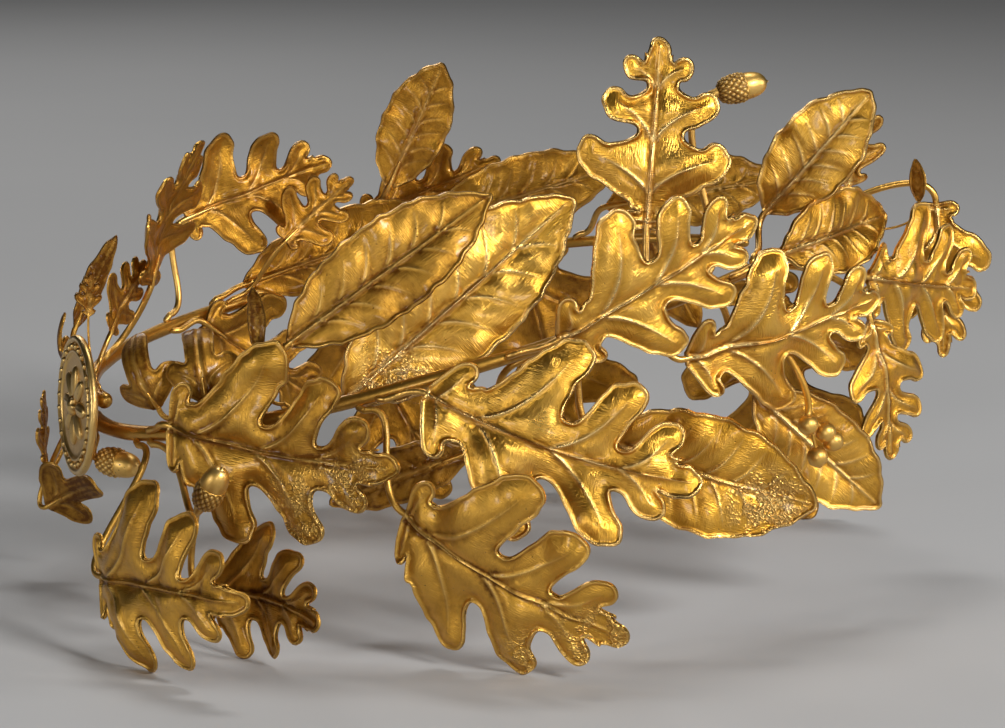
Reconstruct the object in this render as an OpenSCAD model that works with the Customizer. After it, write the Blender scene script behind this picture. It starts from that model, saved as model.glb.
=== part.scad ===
// Oak leaf wreath of gilt sheet metal, worn on the head.
// Two branches run back from a round medallion at the forehead. Every leaf is a piece of its own,
// cut from sheet, bent to shape and carried by a stalk that lies along its branch.
// Millimetres. +Z is up, the medallion faces -Y and the wearer's left branch is at +X.

/* [Head ring] */
// Half of the head ring's width, from its middle to the middle of a branch
ring_half_width = 84; // [80:0.5:88]
// Half of the head ring's length, from its middle to the middle of a branch
ring_half_length = 102; // [98:0.5:106]
// Height of the left branch above the table, behind the medallion
left_front_height = 51; // [48:0.5:54]
// Height of the left branch above the table, at its middle
left_middle_height = 82; // [79:0.5:85]
// Height of the left branch above the table, at the back
left_back_height = 100; // [97:0.5:103]
// Height of the right branch above the table, behind the medallion
right_front_height = 58; // [56:0.5:60]
// Height of the right branch above the table, at its middle
right_middle_height = 72; // [69:0.5:75]
// Height of the right branch above the table, at the back
right_back_height = 86; // [83:0.5:89]

/* [Branches] */
// Diameter of a branch behind the medallion
branch_front_d = 4.4; // [3.6:0.1:5.2]
// Diameter of a branch at its back end
branch_back_d = 2.6; // [2.2:0.1:3.4]
// Station where a branch starts, in degrees round the ring from the medallion
branch_start = -5; // [-7:0.5:-3]
// Station where a branch ends, in degrees round the ring from the medallion
branch_end = 166; // [160:1:168]

/* [Leaves] */
// Thickness of the leaf sheet
sheet = 0.8; // [0.6:0.05:1]
// Upward slope of a leaf's halves beside its midrib, in degrees
fold = 12; // [6:1:18]
// Thickness of a leaf stalk
stalk_d = 1.8; // [1.4:0.1:2.2]
// Gap between separate pieces
gap = 0.3; // [0.2:0.05:0.4]

/* [Medallion] */
// Diameter of the medallion
medallion_d = 38.6; // [34:0.2:42]
// Thickness of the medallion's plate
medallion_t = 1.6; // [1.2:0.1:2]
// Height of the medallion's middle above the table
medallion_height = 56; // [52:0.5:60]
// Backward lean of the medallion's top, in degrees
medallion_lean = 3; // [0:0.5:6]
// Number of beads round the medallion's rim
rim_beads = 28; // [20:1:36]
// Number of petals in the medallion's rosette
petals = 8; // [6:1:10]

/* [Acorns and berries] */
// Diameter of an acorn's nut
acorn_d = 9; // [7:0.25:10]
// Length of an acorn from stalk to point
acorn_length = 15; // [12:0.5:17]
// Diameter of a berry
berry_d = 5.6; // [4.4:0.2:6.4]

/* [Hidden] */
gold = "goldenrod";
dark_gold = "darkgoldenrod";
round_fn = 48;
rod_fn = 24;
LEFT = 1;
RIGHT = -1;
ON_TABLE = -1000;

// Stalks: degrees that a stalk runs beside its branch, and the places that make up its curve
stalk_lead = 6;
stalk_steps = 4;
stalk_half = stalk_d / 2 * sqrt(PI) / 2;
stalk_corner = stalk_half * sqrt(2);

// Medallion: its middle in front of the branches, its rims, beads, middle boss and back post. An inset
// is measured in from the medallion's edge.
medallion_y = -ring_half_length - 6;
rim_d = 2.2;
inner_rim_d = 0.9;
inner_rim_inset = 4.4;
bead_d = 1.9;
bead_inset = 3;
ring_fn = 96;
boss_d = 5.6;
post_d = 7;
post_length = 6 - medallion_t / 2 - branch_front_d / 2 - 2 * gap;

// Petals, each the overlap of two round bosses side by side
petal_r = 5;
petal_offset = 2;
petal_crown = sqrt(petal_r * petal_r - petal_offset * petal_offset);
petal_height = 1.2;
petal_middle = 6.6;

// Oak patterns, one row for each lobe from the stalk to the tip, in percent of the blade's length
// [vein start, lobe along, lobe out, lobe half width, notch along, notch out, notch half width]
BROAD_UPPER = [
    [3, 5, 20, 5, 12, 14, 0.8],
    [14, 42, 45, 10, 44, 13, 2.5],
    [40, 71, 34, 8.5, 69, 8, 2],
    [66, 90, 19, 6.5, 91, 8, 0.8]];
BROAD_LOWER = [
    [3, 5, 18, 5, 12, 12, 0.8],
    [14, 42, 42, 9, 44, 14, 2.5],
    [40, 71, 34, 8, 70, 10, 2],
    [66, 89, 18, 6.5, 90, 8, 0.8]];
LONG_UPPER = [
    [3, 12.5, 18, 4.5, 18.5, 12, 0.8],
    [18, 50.5, 41, 9, 51.5, 13, 2.5],
    [45, 75, 31, 7.5, 72, 8, 2],
    [70, 91.5, 19.5, 6, 93, 8.5, 0.8]];
LONG_LOWER = [
    [3, 13.5, 20, 4, 18, 11, 0.8],
    [18, 47.5, 35.5, 7.5, 49.5, 12, 2.5],
    [45, 76.5, 27.5, 7, 73, 9, 2],
    [70, 89, 14.5, 5.5, 91, 6.5, 0.8]];
FULL_UPPER = [
    [2, 4.5, 20, 4.5, 10.5, 13.5, 0.8],
    [10, 47, 44.5, 10.5, 44, 12.5, 2.5],
    [38, 73, 33, 8.5, 68, 7, 2],
    [62, 90.5, 18.5, 6.5, 93, 7.5, 0.8]];
FULL_LOWER = [
    [2, 8, 18, 3, 15, 22, 1],
    [10, 41, 38.5, 8.5, 41.5, 15.5, 2],
    [36, 69.5, 33, 7.5, 69.5, 12, 2],
    [62, 88.5, 17, 6, 91, 7.5, 0.8]];
CROWN_UPPER = [
    [3, 6, 14, 5, 12, 11, 0.8],
    [16, 43, 42, 10, 51, 10, 2],
    [44, 71, 29, 8, 75, 6, 2],
    [72, 89, 19, 6, 92, 8, 0.8]];
CROWN_LOWER = [
    [3, 6, 14, 5, 12, 11, 0.8],
    [16, 43, 44, 10, 50, 18, 2],
    [44, 71, 35, 8, 76, 13, 2],
    [72, 89, 19, 6, 91, 8, 0.8]];
CURLED_UPPER = [[8, 40, 42, 14, 47, 15, 3]];
CURLED_LOWER = [[8, 36, 38, 13, 44, 14, 3]];

// Oval patterns, one row for each place along the midrib, in percent of the blade's length
// [along, half width of the upper side, half width of the lower side]
OVAL = [[0, 2, 2], [5, 9, 8], [14, 18, 16], [28, 25, 23], [45, 28, 26], [62, 27, 25], [77, 21, 19],
    [88, 13, 12], [95, 6, 6]];
LANCE = [[0, 2, 2], [6, 7, 7], [16, 14, 13], [30, 19, 18], [46, 22, 20], [62, 21, 19], [76, 16, 15],
    [88, 10, 9], [95, 5, 5]];

// Where each leaf sits and how it is bent. Station is in degrees round the ring from the medallion,
// out and up are millimetres from the branch to the foot of the blade. Heading is degrees outward
// from the branch's direction, pitch is degrees upward and roll turns the face upward. Length is in
// millimetres and width is a factor. Sweep bends the midrib in the leaf's plane, bend arches it and
// cup curls the halves back, each in degrees over the blade's length. A leaf whose up is ON_TABLE
// hangs just low enough to rest on the table.
// [name, pattern, side, station, out, up, heading, pitch, roll, length, width, sweep, bend, cup]
LEAVES = [
    ["left_oak_1", "full", LEFT, 25, 25, ON_TABLE, 9, 5, 3, 63, 0.94, -7, 16, 60],
    ["left_oak_2", "full", LEFT, 35, 5, ON_TABLE, 16, 0, 13, 46, 0.91, -28, -30, 60],
    ["left_oak_3", "full", LEFT, 29, 6, 3, -9, -4, 5, 68, 0.92, 15, -10, 60],
    ["left_oak_4", "full", LEFT, 67, 12, ON_TABLE, 18, -25, -12, 66, 1.0, 8, 20, 60],
    ["left_oak_5", "long", LEFT, 70, 5, -2, 15, -16, 15, 75, 0.92, 22, 15, 60],
    ["left_oak_6", "long", LEFT, 89, 5, 2, 7, 30, -8, 60, 0.93, -1, 13, 60],
    ["left_oak_7", "long", LEFT, 108, 9, -13, 10, 12, -8, 59, 0.98, 2, 18, 60],
    ["left_oak_8", "crown", LEFT, 107, -6, 20, -31, 80, 68, 50, 0.92, 0, 10, 60],
    ["left_oak_9", "long", LEFT, 144, 21, -8, 24, -11, -1, 48, 1.13, 4, -17, 60],
    ["left_oak_10", "long", LEFT, 137, 27, -16, 57, -80, 39, 39, 1.01, 0, 10, 60],
    ["left_oval_1", "oval", LEFT, 49, 0, 19, -27, 35, 15, 65, 0.7, 0, 10, 40],
    ["left_oval_2", "oval", LEFT, 57, -8, -1, -17, 41, 10, 80, 0.75, 0, 10, 40],
    ["left_oval_3", "oval", LEFT, 79, -21, -28, 179, -18, 0, 40, 0.7, 0, 10, 40],
    ["left_oval_4", "oval", LEFT, 96, 2, -28, 29, -17, 0, 60, 0.98, 10, 10, 40],
    ["left_oval_5", "oval", LEFT, 135, -3, 12, 68, 50, 0, 44, 0.8, 0, 10, 40],
    ["left_oval_6", "oval", LEFT, 128, 9, 5, 2, 5, 15, 50, 0.72, 0, 10, 40],
    ["left_oval_7", "oval", LEFT, 122, 9, -30, 42, -43, 0, 47, 0.95, 0, 10, 40],
    ["left_curled_1", "curled", LEFT, 23, 0, 7, -163, 54, -40, 27, 1.01, 0, -130, -110],
    ["left_curled_2", "curled", LEFT, 33, -2, 7, -130, 32, -80, 35, 0.81, 0, -150, -120],
    ["left_bud_1", "lance", LEFT, 42, -6, 17, 159, 86, 0, 19, 0.8, 0, 60, 200],
    ["right_oak_1", "broad", RIGHT, 32, -12, 21, -57, 69, 60, 43, 1.1, 0, 10, 60],
    ["right_oak_2", "broad", RIGHT, 57, 3, 29, -27, 18, 0, 47, 0.9, 0, 10, 60],
    ["right_oak_3", "broad", RIGHT, 71, -15, 19, -14, 40, 0, 27, 0.9, 0, 10, 60],
    ["right_oak_4", "broad", RIGHT, 91, -1, 17, -28, 24, 0, 44, 0.7, 0, 10, 60],
    ["right_oak_5", "broad", RIGHT, 57, -4, -1, -17, -36, 0, 48, 0.9, 0, 10, 60],
    ["right_oak_6", "broad", RIGHT, 87, 3, ON_TABLE, -12, -64, 0, 73, 0.9, 0, 10, 60],
    ["right_oak_7", "broad", RIGHT, 118, 5, ON_TABLE, 11, -76, 0, 79, 0.9, 0, 10, 60],
    ["right_oval_1", "oval", RIGHT, 93, -13, 27, -27, 66, 0, 41, 0.9, 0, 10, 40],
    ["right_oval_2", "oval", RIGHT, 101, -12, 13, -24, 19, 0, 60, 0.7, 0, 10, 40],
    ["right_oval_3", "oval", RIGHT, 68, 0, 5, -35, 18, 0, 67, 0.65, 0, 10, 40],
    ["right_oval_4", "oval", RIGHT, 135, -6, 11, -2, 12, 0, 55, 0.7, 0, 10, 40],
    ["right_curled_1", "curled", RIGHT, 18, 14, -38, -135, 22, 30, 26, 1, 0, 60, 60],
    ["right_oak_8", "broad", RIGHT, 161, 10, ON_TABLE, 34, -76, 0, 74, 0.9, 0, 10, 60],
    ["left_oak_11", "broad", LEFT, 165, 37, 4, 90, -86, 0, 44, 0.72, 0, 10, 60],
    ["left_oak_12", "long", LEFT, 146, 14, 16, 71, 83, 0, 26, 0.9, 0, 10, 60],
    ["left_bud_2", "lance", LEFT, 156, 31, 8, -75, 84, 0, 12, 0.9, 0, 10, 200],
    ["right_oval_5", "lance", RIGHT, 18, 5, 13, -74, 65, 0, 29, 0.5, 0, 10, 40],
    ["right_oak_9", "long", RIGHT, 5, 1, 21, -80, 85, 0, 12, 0.8, 0, 10, 60],
    ["right_curled_2", "curled", RIGHT, 16, 7, 3, -178, 79, 0, 17, 0.9, 0, -60, -60],
    ["right_oak_10", "long", RIGHT, 18, 14, -26, -7, 85, 0, 21, 0.65, 0, 10, 60],
    ["right_oak_11", "long", RIGHT, 19, -5, 12, -20, 40, 0, 26, 0.9, 0, 10, 60],
    ["right_oval_6", "oval", RIGHT, 139, 5, 7, 41, -62, 0, 41, 0.8, 0, 10, 40]];

// Acorns: [name, side, station, out, up, heading, pitch, lead]. Lead is how many degrees before the
// acorn its stalk leaves the branch.
ACORNS = [
    ["left_acorn_1", LEFT, 121, -4, 50, 33, 11, 6],
    ["left_acorn_2", LEFT, 39, 17, -18, 15, 55, 16],
    ["left_acorn_3", LEFT, 7, 4, -8, -30, -4, 6]];

// Foot of the berry cluster: [side, station, out, up, heading, pitch]
BERRY_FOOT = [LEFT, 122, 27, -33, 150, -40];
// Its berries, in millimetres from the foot: [back, out, up]
BERRIES = [[0, 0, -3], [5, 2, -5.5], [3, 1, -12], [7, 3, -8]];

// Head ring

function unit(v) = v / norm(v);
function parabola(front, middle, back, x) =
    middle + (back - front) / 2 * x + ((back + front) / 2 - middle) * x * x;
function ring_height(side, station) = side == LEFT
    ? parabola(left_front_height, left_middle_height, left_back_height, -cos(station))
    : parabola(right_front_height, right_middle_height, right_back_height, -cos(station));
function ring_point(side, station) = [
    side * ring_half_width * sin(station),
    -ring_half_length * cos(station),
    ring_height(side, station)];
function ring_along(side, station) =
    unit([side * ring_half_width * cos(station), ring_half_length * sin(station), 0]);
function ring_out(side, station) =
    let (along = ring_along(side, station)) [side * along.y, -side * along.x, 0];
function branch_r(station) =
    (branch_front_d + (branch_back_d - branch_front_d) * max(0, station) / 180) / 2;

// Tubes along a path

// A unit vector across `direction`, as near to `guide` as it can be
function across(direction, guide) = unit(guide - (guide * direction) * direction);
function path_direction(path, i) = unit(path[min(i + 1, len(path) - 1)] - path[max(i - 1, 0)]);
// Directions across a path, each turned as little as possible from the one before
function carried(path, guide, i = 0) = i == len(path) ? [] :
    let (here = across(path_direction(path, i), guide)) concat([here], carried(path, here, i + 1));
function tube_rings(path, radii, sides, guide) =
    let (sideways = carried(path, guide))
    [for (i = [0 : len(path) - 1])
        let (up = cross(path_direction(path, i), sideways[i]))
        [for (k = [0 : sides - 1]) path[i] + radii[i] * (cos(360 * k / sides) * sideways[i]
            + sin(360 * k / sides) * up)]];
function ring_faces(rings, sides, first = 0) = [for (i = [0 : rings - 2]) for (k = [0 : sides - 1])
    let (a = first + i * sides + k, b = first + i * sides + (k + 1) % sides)
    each [[a, a + sides, b], [b, a + sides, b + sides]]];

module tube(path, radii, sides, guide) {
    rings = tube_rings(path, radii, sides, guide);
    last = (len(path) - 1) * sides;
    polyhedron(
        points = [for (ring = rings) each ring],
        faces = concat(ring_faces(len(path), sides), [[for (k = [0 : sides - 1]) k]],
            [[for (k = [sides - 1 : -1 : 0]) last + k]]),
        convexity = 6);
}

module branch(side) {
    steps = 24;
    stations = [for (i = [0 : steps]) branch_start + (branch_end - branch_start) * i / steps];
    color(dark_gold)
    tube([for (s = stations) ring_point(side, s)], [for (s = stations) branch_r(s)], 8, [0, 0, 1]);
}

// Flat leaf patterns. The blade runs along +X from its foot at 0 to its tip at 1.

cap_angles = [90, 35, -35, -90];
points_per_lobe = 6;
foot_half = 0.03;

function lobe_middle(row) = [row[1], row[2]] - row[3] * unit([row[1] - row[0], row[2]]);
function lobe_cap(row) =
    let (ahead = unit([row[1] - row[0], row[2]]), left = [-ahead.y, ahead.x])
    [for (a = cap_angles) lobe_middle(row) + row[3] * (cos(a) * ahead + sin(a) * left)];
function lobe_edge(row) =
    concat(lobe_cap(row), [[row[4] - row[6], row[5]], [row[4] + row[6], row[5]]]);
function lower_side(points) = [for (p = points) [p.x, -p.y]];
function percent(points) = [for (p = points) p / 100];

// The lobe at the tip
function tip_row(rows) = len(rows) == 1 ? [50, 100, 0, 15] : [84, 101, 0, 7];

// Points of an oak leaf: midrib, upper hubs, lower hubs, tip hub, foot, upper edge, lower edge, tip
function oak_points(upper, lower) = percent(concat(
    [for (row = upper) [row[0], 0]], [[tip_row(upper)[0], 0]],
    [for (row = upper) lobe_middle(row)],
    lower_side([for (row = lower) lobe_middle(row)]),
    [lobe_middle(tip_row(upper))],
    [[0, 100 * foot_half], [0, -100 * foot_half]],
    [for (row = upper) each lobe_edge(row)],
    lower_side([for (row = lower) each lobe_edge(row)]),
    lobe_cap(tip_row(upper))));
function oak_foot(n) = 3 * n + 2;
function oak_upper_edge(n) = oak_foot(n) + 2;
function oak_lower_edge(n) = oak_upper_edge(n) + points_per_lobe * n;
function oak_tip(n) = oak_lower_edge(n) + points_per_lobe * n;
function oak_rim(n) = concat([oak_foot(n)],
    [for (i = [0 : points_per_lobe * n - 1]) oak_upper_edge(n) + i],
    [for (i = [0 : 3]) oak_tip(n) + i],
    [for (i = [points_per_lobe * n - 1 : -1 : 0]) oak_lower_edge(n) + i],
    [oak_foot(n) + 1]);
// Triangles of one lobe, between the edge point before it and its own notch
function lobe_faces(middle, hub, before, cap) = concat(
    [[middle, before, hub], [hub, before, cap]],
    [for (k = [0 : 3]) [hub, cap + k, cap + k + 1]],
    [[middle, hub, cap + 4], [middle, cap + 4, middle + 1], [middle + 1, cap + 4, cap + 5]]);
function flipped(faces) = [for (f = faces) [f[0], f[2], f[1]]];
function side_faces(n, hubs, edge, foot) = [for (i = [0 : n - 1])
    each lobe_faces(i, hubs + i, i == 0 ? foot : edge + points_per_lobe * i - 1,
        edge + points_per_lobe * i)];
function oak_faces(n) =
    let (hub = 3 * n + 1, tip = oak_tip(n), above = oak_lower_edge(n) - 1, below = tip - 1)
    concat([[oak_foot(n) + 1, oak_foot(n), 0]],
        side_faces(n, n + 1, oak_upper_edge(n), oak_foot(n)),
        flipped(side_faces(n, 2 * n + 1, oak_lower_edge(n), oak_foot(n) + 1)),
        [[n, above, hub], [hub, above, tip]],
        [for (k = [0 : 2]) [hub, tip + k, tip + k + 1]],
        [[hub, tip + 3, below], [n, hub, below]]);

// Points of an oval leaf: midrib, upper edge, lower edge, tip
function oval_points(rows) = percent(concat([for (row = rows) [row[0], 0]],
    [for (row = rows) [row[0], row[1]]], [for (row = rows) [row[0], -row[2]]], [[100, 0]]));
function oval_rim(n) = concat([for (i = [0 : n - 1]) n + i], [3 * n],
    [for (i = [n - 1 : -1 : 0]) 2 * n + i]);
function oval_faces(n) = concat(
    [for (i = [0 : n - 2]) each [[i, n + i, n + i + 1], [i, n + i + 1, i + 1]]],
    flipped([for (i = [0 : n - 2]) each [[i, 2 * n + i, 2 * n + i + 1], [i, 2 * n + i + 1, i + 1]]]),
    [[n - 1, 2 * n - 1, 3 * n], [n - 1, 3 * n, 3 * n - 1], [n, 0, 2 * n]]);

function is_oval(pattern) = pattern == "oval" || pattern == "lance";
function pattern_upper(pattern) = pattern == "broad" ? BROAD_UPPER
    : pattern == "long" ? LONG_UPPER
    : pattern == "full" ? FULL_UPPER
    : pattern == "crown" ? CROWN_UPPER
    : CURLED_UPPER;
function pattern_lower(pattern) = pattern == "broad" ? BROAD_LOWER
    : pattern == "long" ? LONG_LOWER
    : pattern == "full" ? FULL_LOWER
    : pattern == "crown" ? CROWN_LOWER
    : CURLED_LOWER;
function oval_rows(pattern) = pattern == "oval" ? OVAL : LANCE;

// Bending a flat leaf

// Where a walk of length `s` ends that starts at `start` degrees and turns by `turn` for each unit
function arc_to(start, turn, s) = abs(turn) < 0.01
    ? s * [cos(start), sin(start)]
    : [sin(start + turn * s) - sin(start), cos(start) - cos(start + turn * s)] * 180 / (PI * turn);

// A flat point `p` of the blade, `rise` above its middle surface, after bending. Blade lengths.
function bent(p, rise, width, sweep, bend, cup) =
    let (
        v = abs(p.y) * width,
        slope = fold - cup * v,
        section = arc_to(fold, -cup, v) + rise * [-sin(slope), cos(slope)],
        sideways = sign(p.y) * section.x,
        middle = arc_to(-sweep / 2, sweep, p.x),
        turn = sweep * (p.x - 0.5),
        ahead = middle.x - sideways * sin(turn),
        arch = arc_to(bend / 2, -bend, ahead),
        lean = bend / 2 - bend * ahead)
    [arch.x - section.y * sin(lean), middle.y + sideways * cos(turn), arch.y + section.y * cos(lean)];

// Directions of a leaf: along its midrib, across its upper half and out of its face
function leaf_axes(side, station, heading, pitch, roll) =
    let (
        along = ring_along(side, station),
        out = ring_out(side, station),
        up = [0, 0, 1],
        forward = cos(heading) * along + sin(heading) * out,
        face = cos(heading) * out - sin(heading) * along,
        ahead = cos(pitch) * forward + sin(pitch) * up,
        rise = cos(pitch) * up - sin(pitch) * forward)
    [ahead, cos(roll) * rise - sin(roll) * face, cos(roll) * face + sin(roll) * rise];
function beside_branch(side, station, out, up) =
    ring_point(side, station) + out * ring_out(side, station) + [0, 0, up];

// Stalks

function bezier(a, b, c, d, t) =
    pow(1 - t, 3) * a + 3 * pow(1 - t, 2) * t * b + 3 * (1 - t) * t * t * c + pow(t, 3) * d;
// Path of a stalk, from the foot of its blade back to its branch
function stalk_path(side, station, out, up, heading, ahead, lead = stalk_lead) =
    let (
        foot = beside_branch(side, station, out, up),
        root = station + (cos(heading) < 0 ? lead : -lead),
        clear = branch_r(root) + stalk_corner + gap,
        aside = clear / norm([out, up]),
        start = beside_branch(side, root, aside * out, aside * up),
        reach = 0.4 * norm(foot - start),
        along = unit(ring_point(side, station) - ring_point(side, root)))
    [for (i = [0 : stalk_steps])
        bezier(foot, foot - reach * ahead, start + reach * along, start, i / stalk_steps)];
// Four corners round each place of the path but the first
function stalk_rings(path, side, guide) =
    let (sideways = carried(path, guide))
    [for (i = [1 : len(path) - 1])
        let (w = sideways[i], n = -side * cross(path_direction(path, i), w))
        [for (c = [[1, 1], [1, -1], [-1, -1], [-1, 1]]) path[i] + stalk_half * (c[0] * w + c[1] * n)]];
// Triangles between two rings of four corners
function strip(a, b) = [for (k = [0 : 3]) let (m = (k + 1) % 4)
    each [[a[k], b[k], b[m]], [a[k], b[m], a[m]]]];

// Points of both faces of a blade whose foot is `up` above its branch
function blade_points(row, flat, axes, up) =
    let (foot = beside_branch(row[2], row[3], row[4], up), length = row[9])
    [for (rise = [sheet / 2, -sheet / 2]) for (p = flat)
        let (b = length * bent(p, rise / length, row[10], row[11], row[12], row[13]))
        foot + b[0] * axes[0] + b[1] * axes[1] + b[2] * axes[2]];
function foot_up(row, flat, axes) = row[5] == ON_TABLE
    ? -min([for (p = blade_points(row, flat, axes, 0)) p.z])
    : row[5];

module leaf(row) {
    pattern = row[1];
    side = row[2];
    station = row[3];
    heading = row[6];
    oval = is_oval(pattern);
    n = oval ? len(oval_rows(pattern)) : len(pattern_upper(pattern));
    flat = oval ? oval_points(oval_rows(pattern))
        : oak_points(pattern_upper(pattern), pattern_lower(pattern));
    count = len(flat);
    axes = leaf_axes(side, station, heading, row[7], row[8]);
    up = foot_up(row, flat, axes);
    top = oval ? oval_faces(n) : oak_faces(n);
    rim = oval ? oval_rim(n) : oak_rim(n);
    last = len(rim) - 1;
    rings = stalk_rings(stalk_path(side, station, row[4], up, heading, axes[0]), side, axes[1]);
    loops = concat([[rim[0], rim[0] + count, rim[last] + count, rim[last]]],
        [for (i = [0 : len(rings) - 1]) [for (k = [0 : 3]) 2 * count + 4 * i + k]]);
    end = loops[len(rings)];
    faces = concat(
        top,
        [for (f = top) [f[0] + count, f[2] + count, f[1] + count]],
        [for (i = [0 : last - 1]) let (a = rim[i], b = rim[i + 1])
            each [[b, a, a + count], [b, a + count, b + count]]],
        [for (i = [0 : len(rings) - 1]) each strip(loops[i], loops[i + 1])],
        [[end[0], end[3], end[2]], [end[0], end[2], end[1]]]);
    color(gold)
    polyhedron(
        points = concat(blade_points(row, flat, axes, up), [for (ring = rings) each ring]),
        faces = side == LEFT ? faces : flipped(faces),
        convexity = 10);
}

// Turned and round pieces

// Puts +Z of what it is given along `direction`
module pointing(direction) {
    flat = norm([direction.x, direction.y]);
    rotate([0, atan2(flat, direction.z), atan2(direction.y, direction.x)]) children();
}

// A round stalk along a path, with `sides` flat faces. `guide` is a direction that it never runs in.
module rod(path, d, sides, guide) {
    tube(path, [for (p = path) d / 2], sides, guide);
}

// Outline of an acorn's cup and of the nut in it: [radius, height] as parts of diameter and length
ACORN = [[0, 0], [0.16, 0], [0.42, 0.08], [0.54, 0.22], [0.58, 0.36], [0.56, 0.44], [0.48, 0.46],
    [0.49, 0.62], [0.44, 0.76], [0.33, 0.88], [0.16, 0.95], [0.06, 0.97], [0, 1]];

module acorn(row) {
    axes = leaf_axes(row[1], row[2], row[5], row[6], 0);
    path = stalk_path(row[1], row[2], row[3], row[4], row[5], axes[0], row[7]);
    buried = path[0] + axes[0] * acorn_length / 4;
    color(gold) {
        rod(concat([buried], path), stalk_d, 8, ring_out(row[1], row[2]));
        translate(path[0])
        pointing(axes[0])
        rotate_extrude($fn = round_fn)
        polygon([for (p = ACORN) [acorn_d * p.x, acorn_length * p.y]]);
    }
}

module berry_cluster() {
    side = BERRY_FOOT[0];
    station = BERRY_FOOT[1];
    path = stalk_path(side, station, BERRY_FOOT[2], BERRY_FOOT[3], BERRY_FOOT[4],
        leaf_axes(side, station, BERRY_FOOT[4], BERRY_FOOT[5], 0)[0]);
    color(gold) {
        rod(path, stalk_d, 8, ring_out(side, station));
        for (b = BERRIES) {
            middle = path[0] + b[0] * ring_along(side, station) + b[1] * ring_out(side, station)
                + [0, 0, b[2]];
            start = path[0] - stalk_d / 4 * unit(middle - path[0]);
            rod([start, middle], stalk_d / 2, 6, ring_along(side, station));
            translate(middle)
            sphere(d = berry_d, $fn = round_fn);
        }
    }
}

// A pointed oval boss that stands `petal_height` above the plate, with its length along +X
module petal() {
    intersection() {
        translate([0, petal_offset, petal_height - petal_crown])
        sphere(r = petal_r, $fn = round_fn);
        translate([0, -petal_offset, petal_height - petal_crown])
        sphere(r = petal_r, $fn = round_fn);
        translate([-petal_r, -petal_r, -medallion_t / 2])
        cube([2 * petal_r, 2 * petal_r, petal_r]);
    }
}

module medallion_ring(radius, d) {
    rotate_extrude($fn = ring_fn)
    translate([radius, 0])
    circle(d = d, $fn = rod_fn);
}

module medallion() {
    radius = medallion_d / 2;
    color(gold)
    translate([0, medallion_y, medallion_height])
    rotate([90 - medallion_lean, 0, 0]) {
        translate([0, 0, -medallion_t / 2])
        cylinder(d = medallion_d - rim_d, h = medallion_t, $fn = ring_fn);
        medallion_ring(radius - rim_d / 2, rim_d);
        translate([0, 0, medallion_t / 2])
        medallion_ring(radius - inner_rim_inset, inner_rim_d);
        for (i = [1 : rim_beads]) {
            rotate([0, 0, 360 * i / rim_beads])
            translate([radius - bead_inset, 0, medallion_t / 2])
            sphere(d = bead_d, $fn = rod_fn);
        }
        translate([0, 0, medallion_t / 2])
        for (i = [1 : petals]) {
            rotate([0, 0, 360 * i / petals])
            translate([petal_middle, 0, 0])
            petal();
        }
        translate([0, 0, medallion_t / 2])
        sphere(d = boss_d, $fn = round_fn);
        translate([0, 0, -post_length - medallion_t / 2])
        cylinder(d = post_d, h = post_length + medallion_t / 2, $fn = round_fn);
    }
}

for (row = LEAVES) {
    leaf(row);
}
for (row = ACORNS) {
    acorn(row);
}
branch(LEFT);  // branch_left
branch(RIGHT);  // branch_right
medallion();
berry_cluster();
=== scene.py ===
"""Oak leaf wreath of gilt sheet metal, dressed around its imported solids.

Every leaf, branch, acorn, berry and the medallion is built again in finer form in the place of its
solid, and gets a worn gilt finish. Sizes are in millimetres until a mesh is made.
"""

import logging
import math
import zlib
from dataclasses import dataclass, field
from enum import Enum, IntEnum
from typing import NamedTuple

import bpy
import numpy as np
from mathutils import Matrix, Vector
from mathutils.geometry import delaunay_2d_cdt


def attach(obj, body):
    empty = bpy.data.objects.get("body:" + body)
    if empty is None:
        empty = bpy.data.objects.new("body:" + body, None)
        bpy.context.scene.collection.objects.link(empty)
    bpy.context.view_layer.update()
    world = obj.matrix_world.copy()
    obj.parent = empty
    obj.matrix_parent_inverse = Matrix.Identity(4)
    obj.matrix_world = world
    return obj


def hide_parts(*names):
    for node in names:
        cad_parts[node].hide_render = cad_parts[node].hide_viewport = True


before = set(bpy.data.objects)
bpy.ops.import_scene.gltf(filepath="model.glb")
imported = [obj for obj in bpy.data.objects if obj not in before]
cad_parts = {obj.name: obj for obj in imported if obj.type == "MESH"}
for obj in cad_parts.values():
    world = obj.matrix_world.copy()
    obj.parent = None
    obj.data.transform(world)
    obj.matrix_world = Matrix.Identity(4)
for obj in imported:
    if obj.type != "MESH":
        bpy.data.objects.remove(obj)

LOG = logging.getLogger("wreath")
MILLIMETRE = 0.001
UP = np.array([0.0, 0.0, 1.0])
FULL_TURN = 2 * math.pi
NEARLY_STRAIGHT = 0.01
NEARLY_NOTHING = 1e-9


class Side(IntEnum):
    """The wearer's side that a branch runs along."""

    LEFT = 1
    RIGHT = -1


LEFT = Side.LEFT
RIGHT = Side.RIGHT


class Pattern(Enum):
    """Cutting patterns of the leaves."""

    BROAD = "broad"
    LONG = "long"
    FULL = "full"
    CROWN = "crown"
    CURLED = "curled"
    OVAL = "oval"
    LANCE = "lance"


class Slot(Enum):
    """Material slots of the record."""

    BRANCH = "gilt_branch"
    MEDALLION = "gilt_medallion"
    FRUIT = "gilt_fruit"
    BRIGHT = "gilt_leaf_bright"
    SATIN = "gilt_leaf_satin"
    AGED = "gilt_leaf_aged"


BROAD, LONG, FULL, CROWN = Pattern.BROAD, Pattern.LONG, Pattern.FULL, Pattern.CROWN
CURLED, OVAL, LANCE = Pattern.CURLED, Pattern.OVAL, Pattern.LANCE
BRIGHT, SATIN, AGED = Slot.BRIGHT, Slot.SATIN, Slot.AGED



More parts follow.
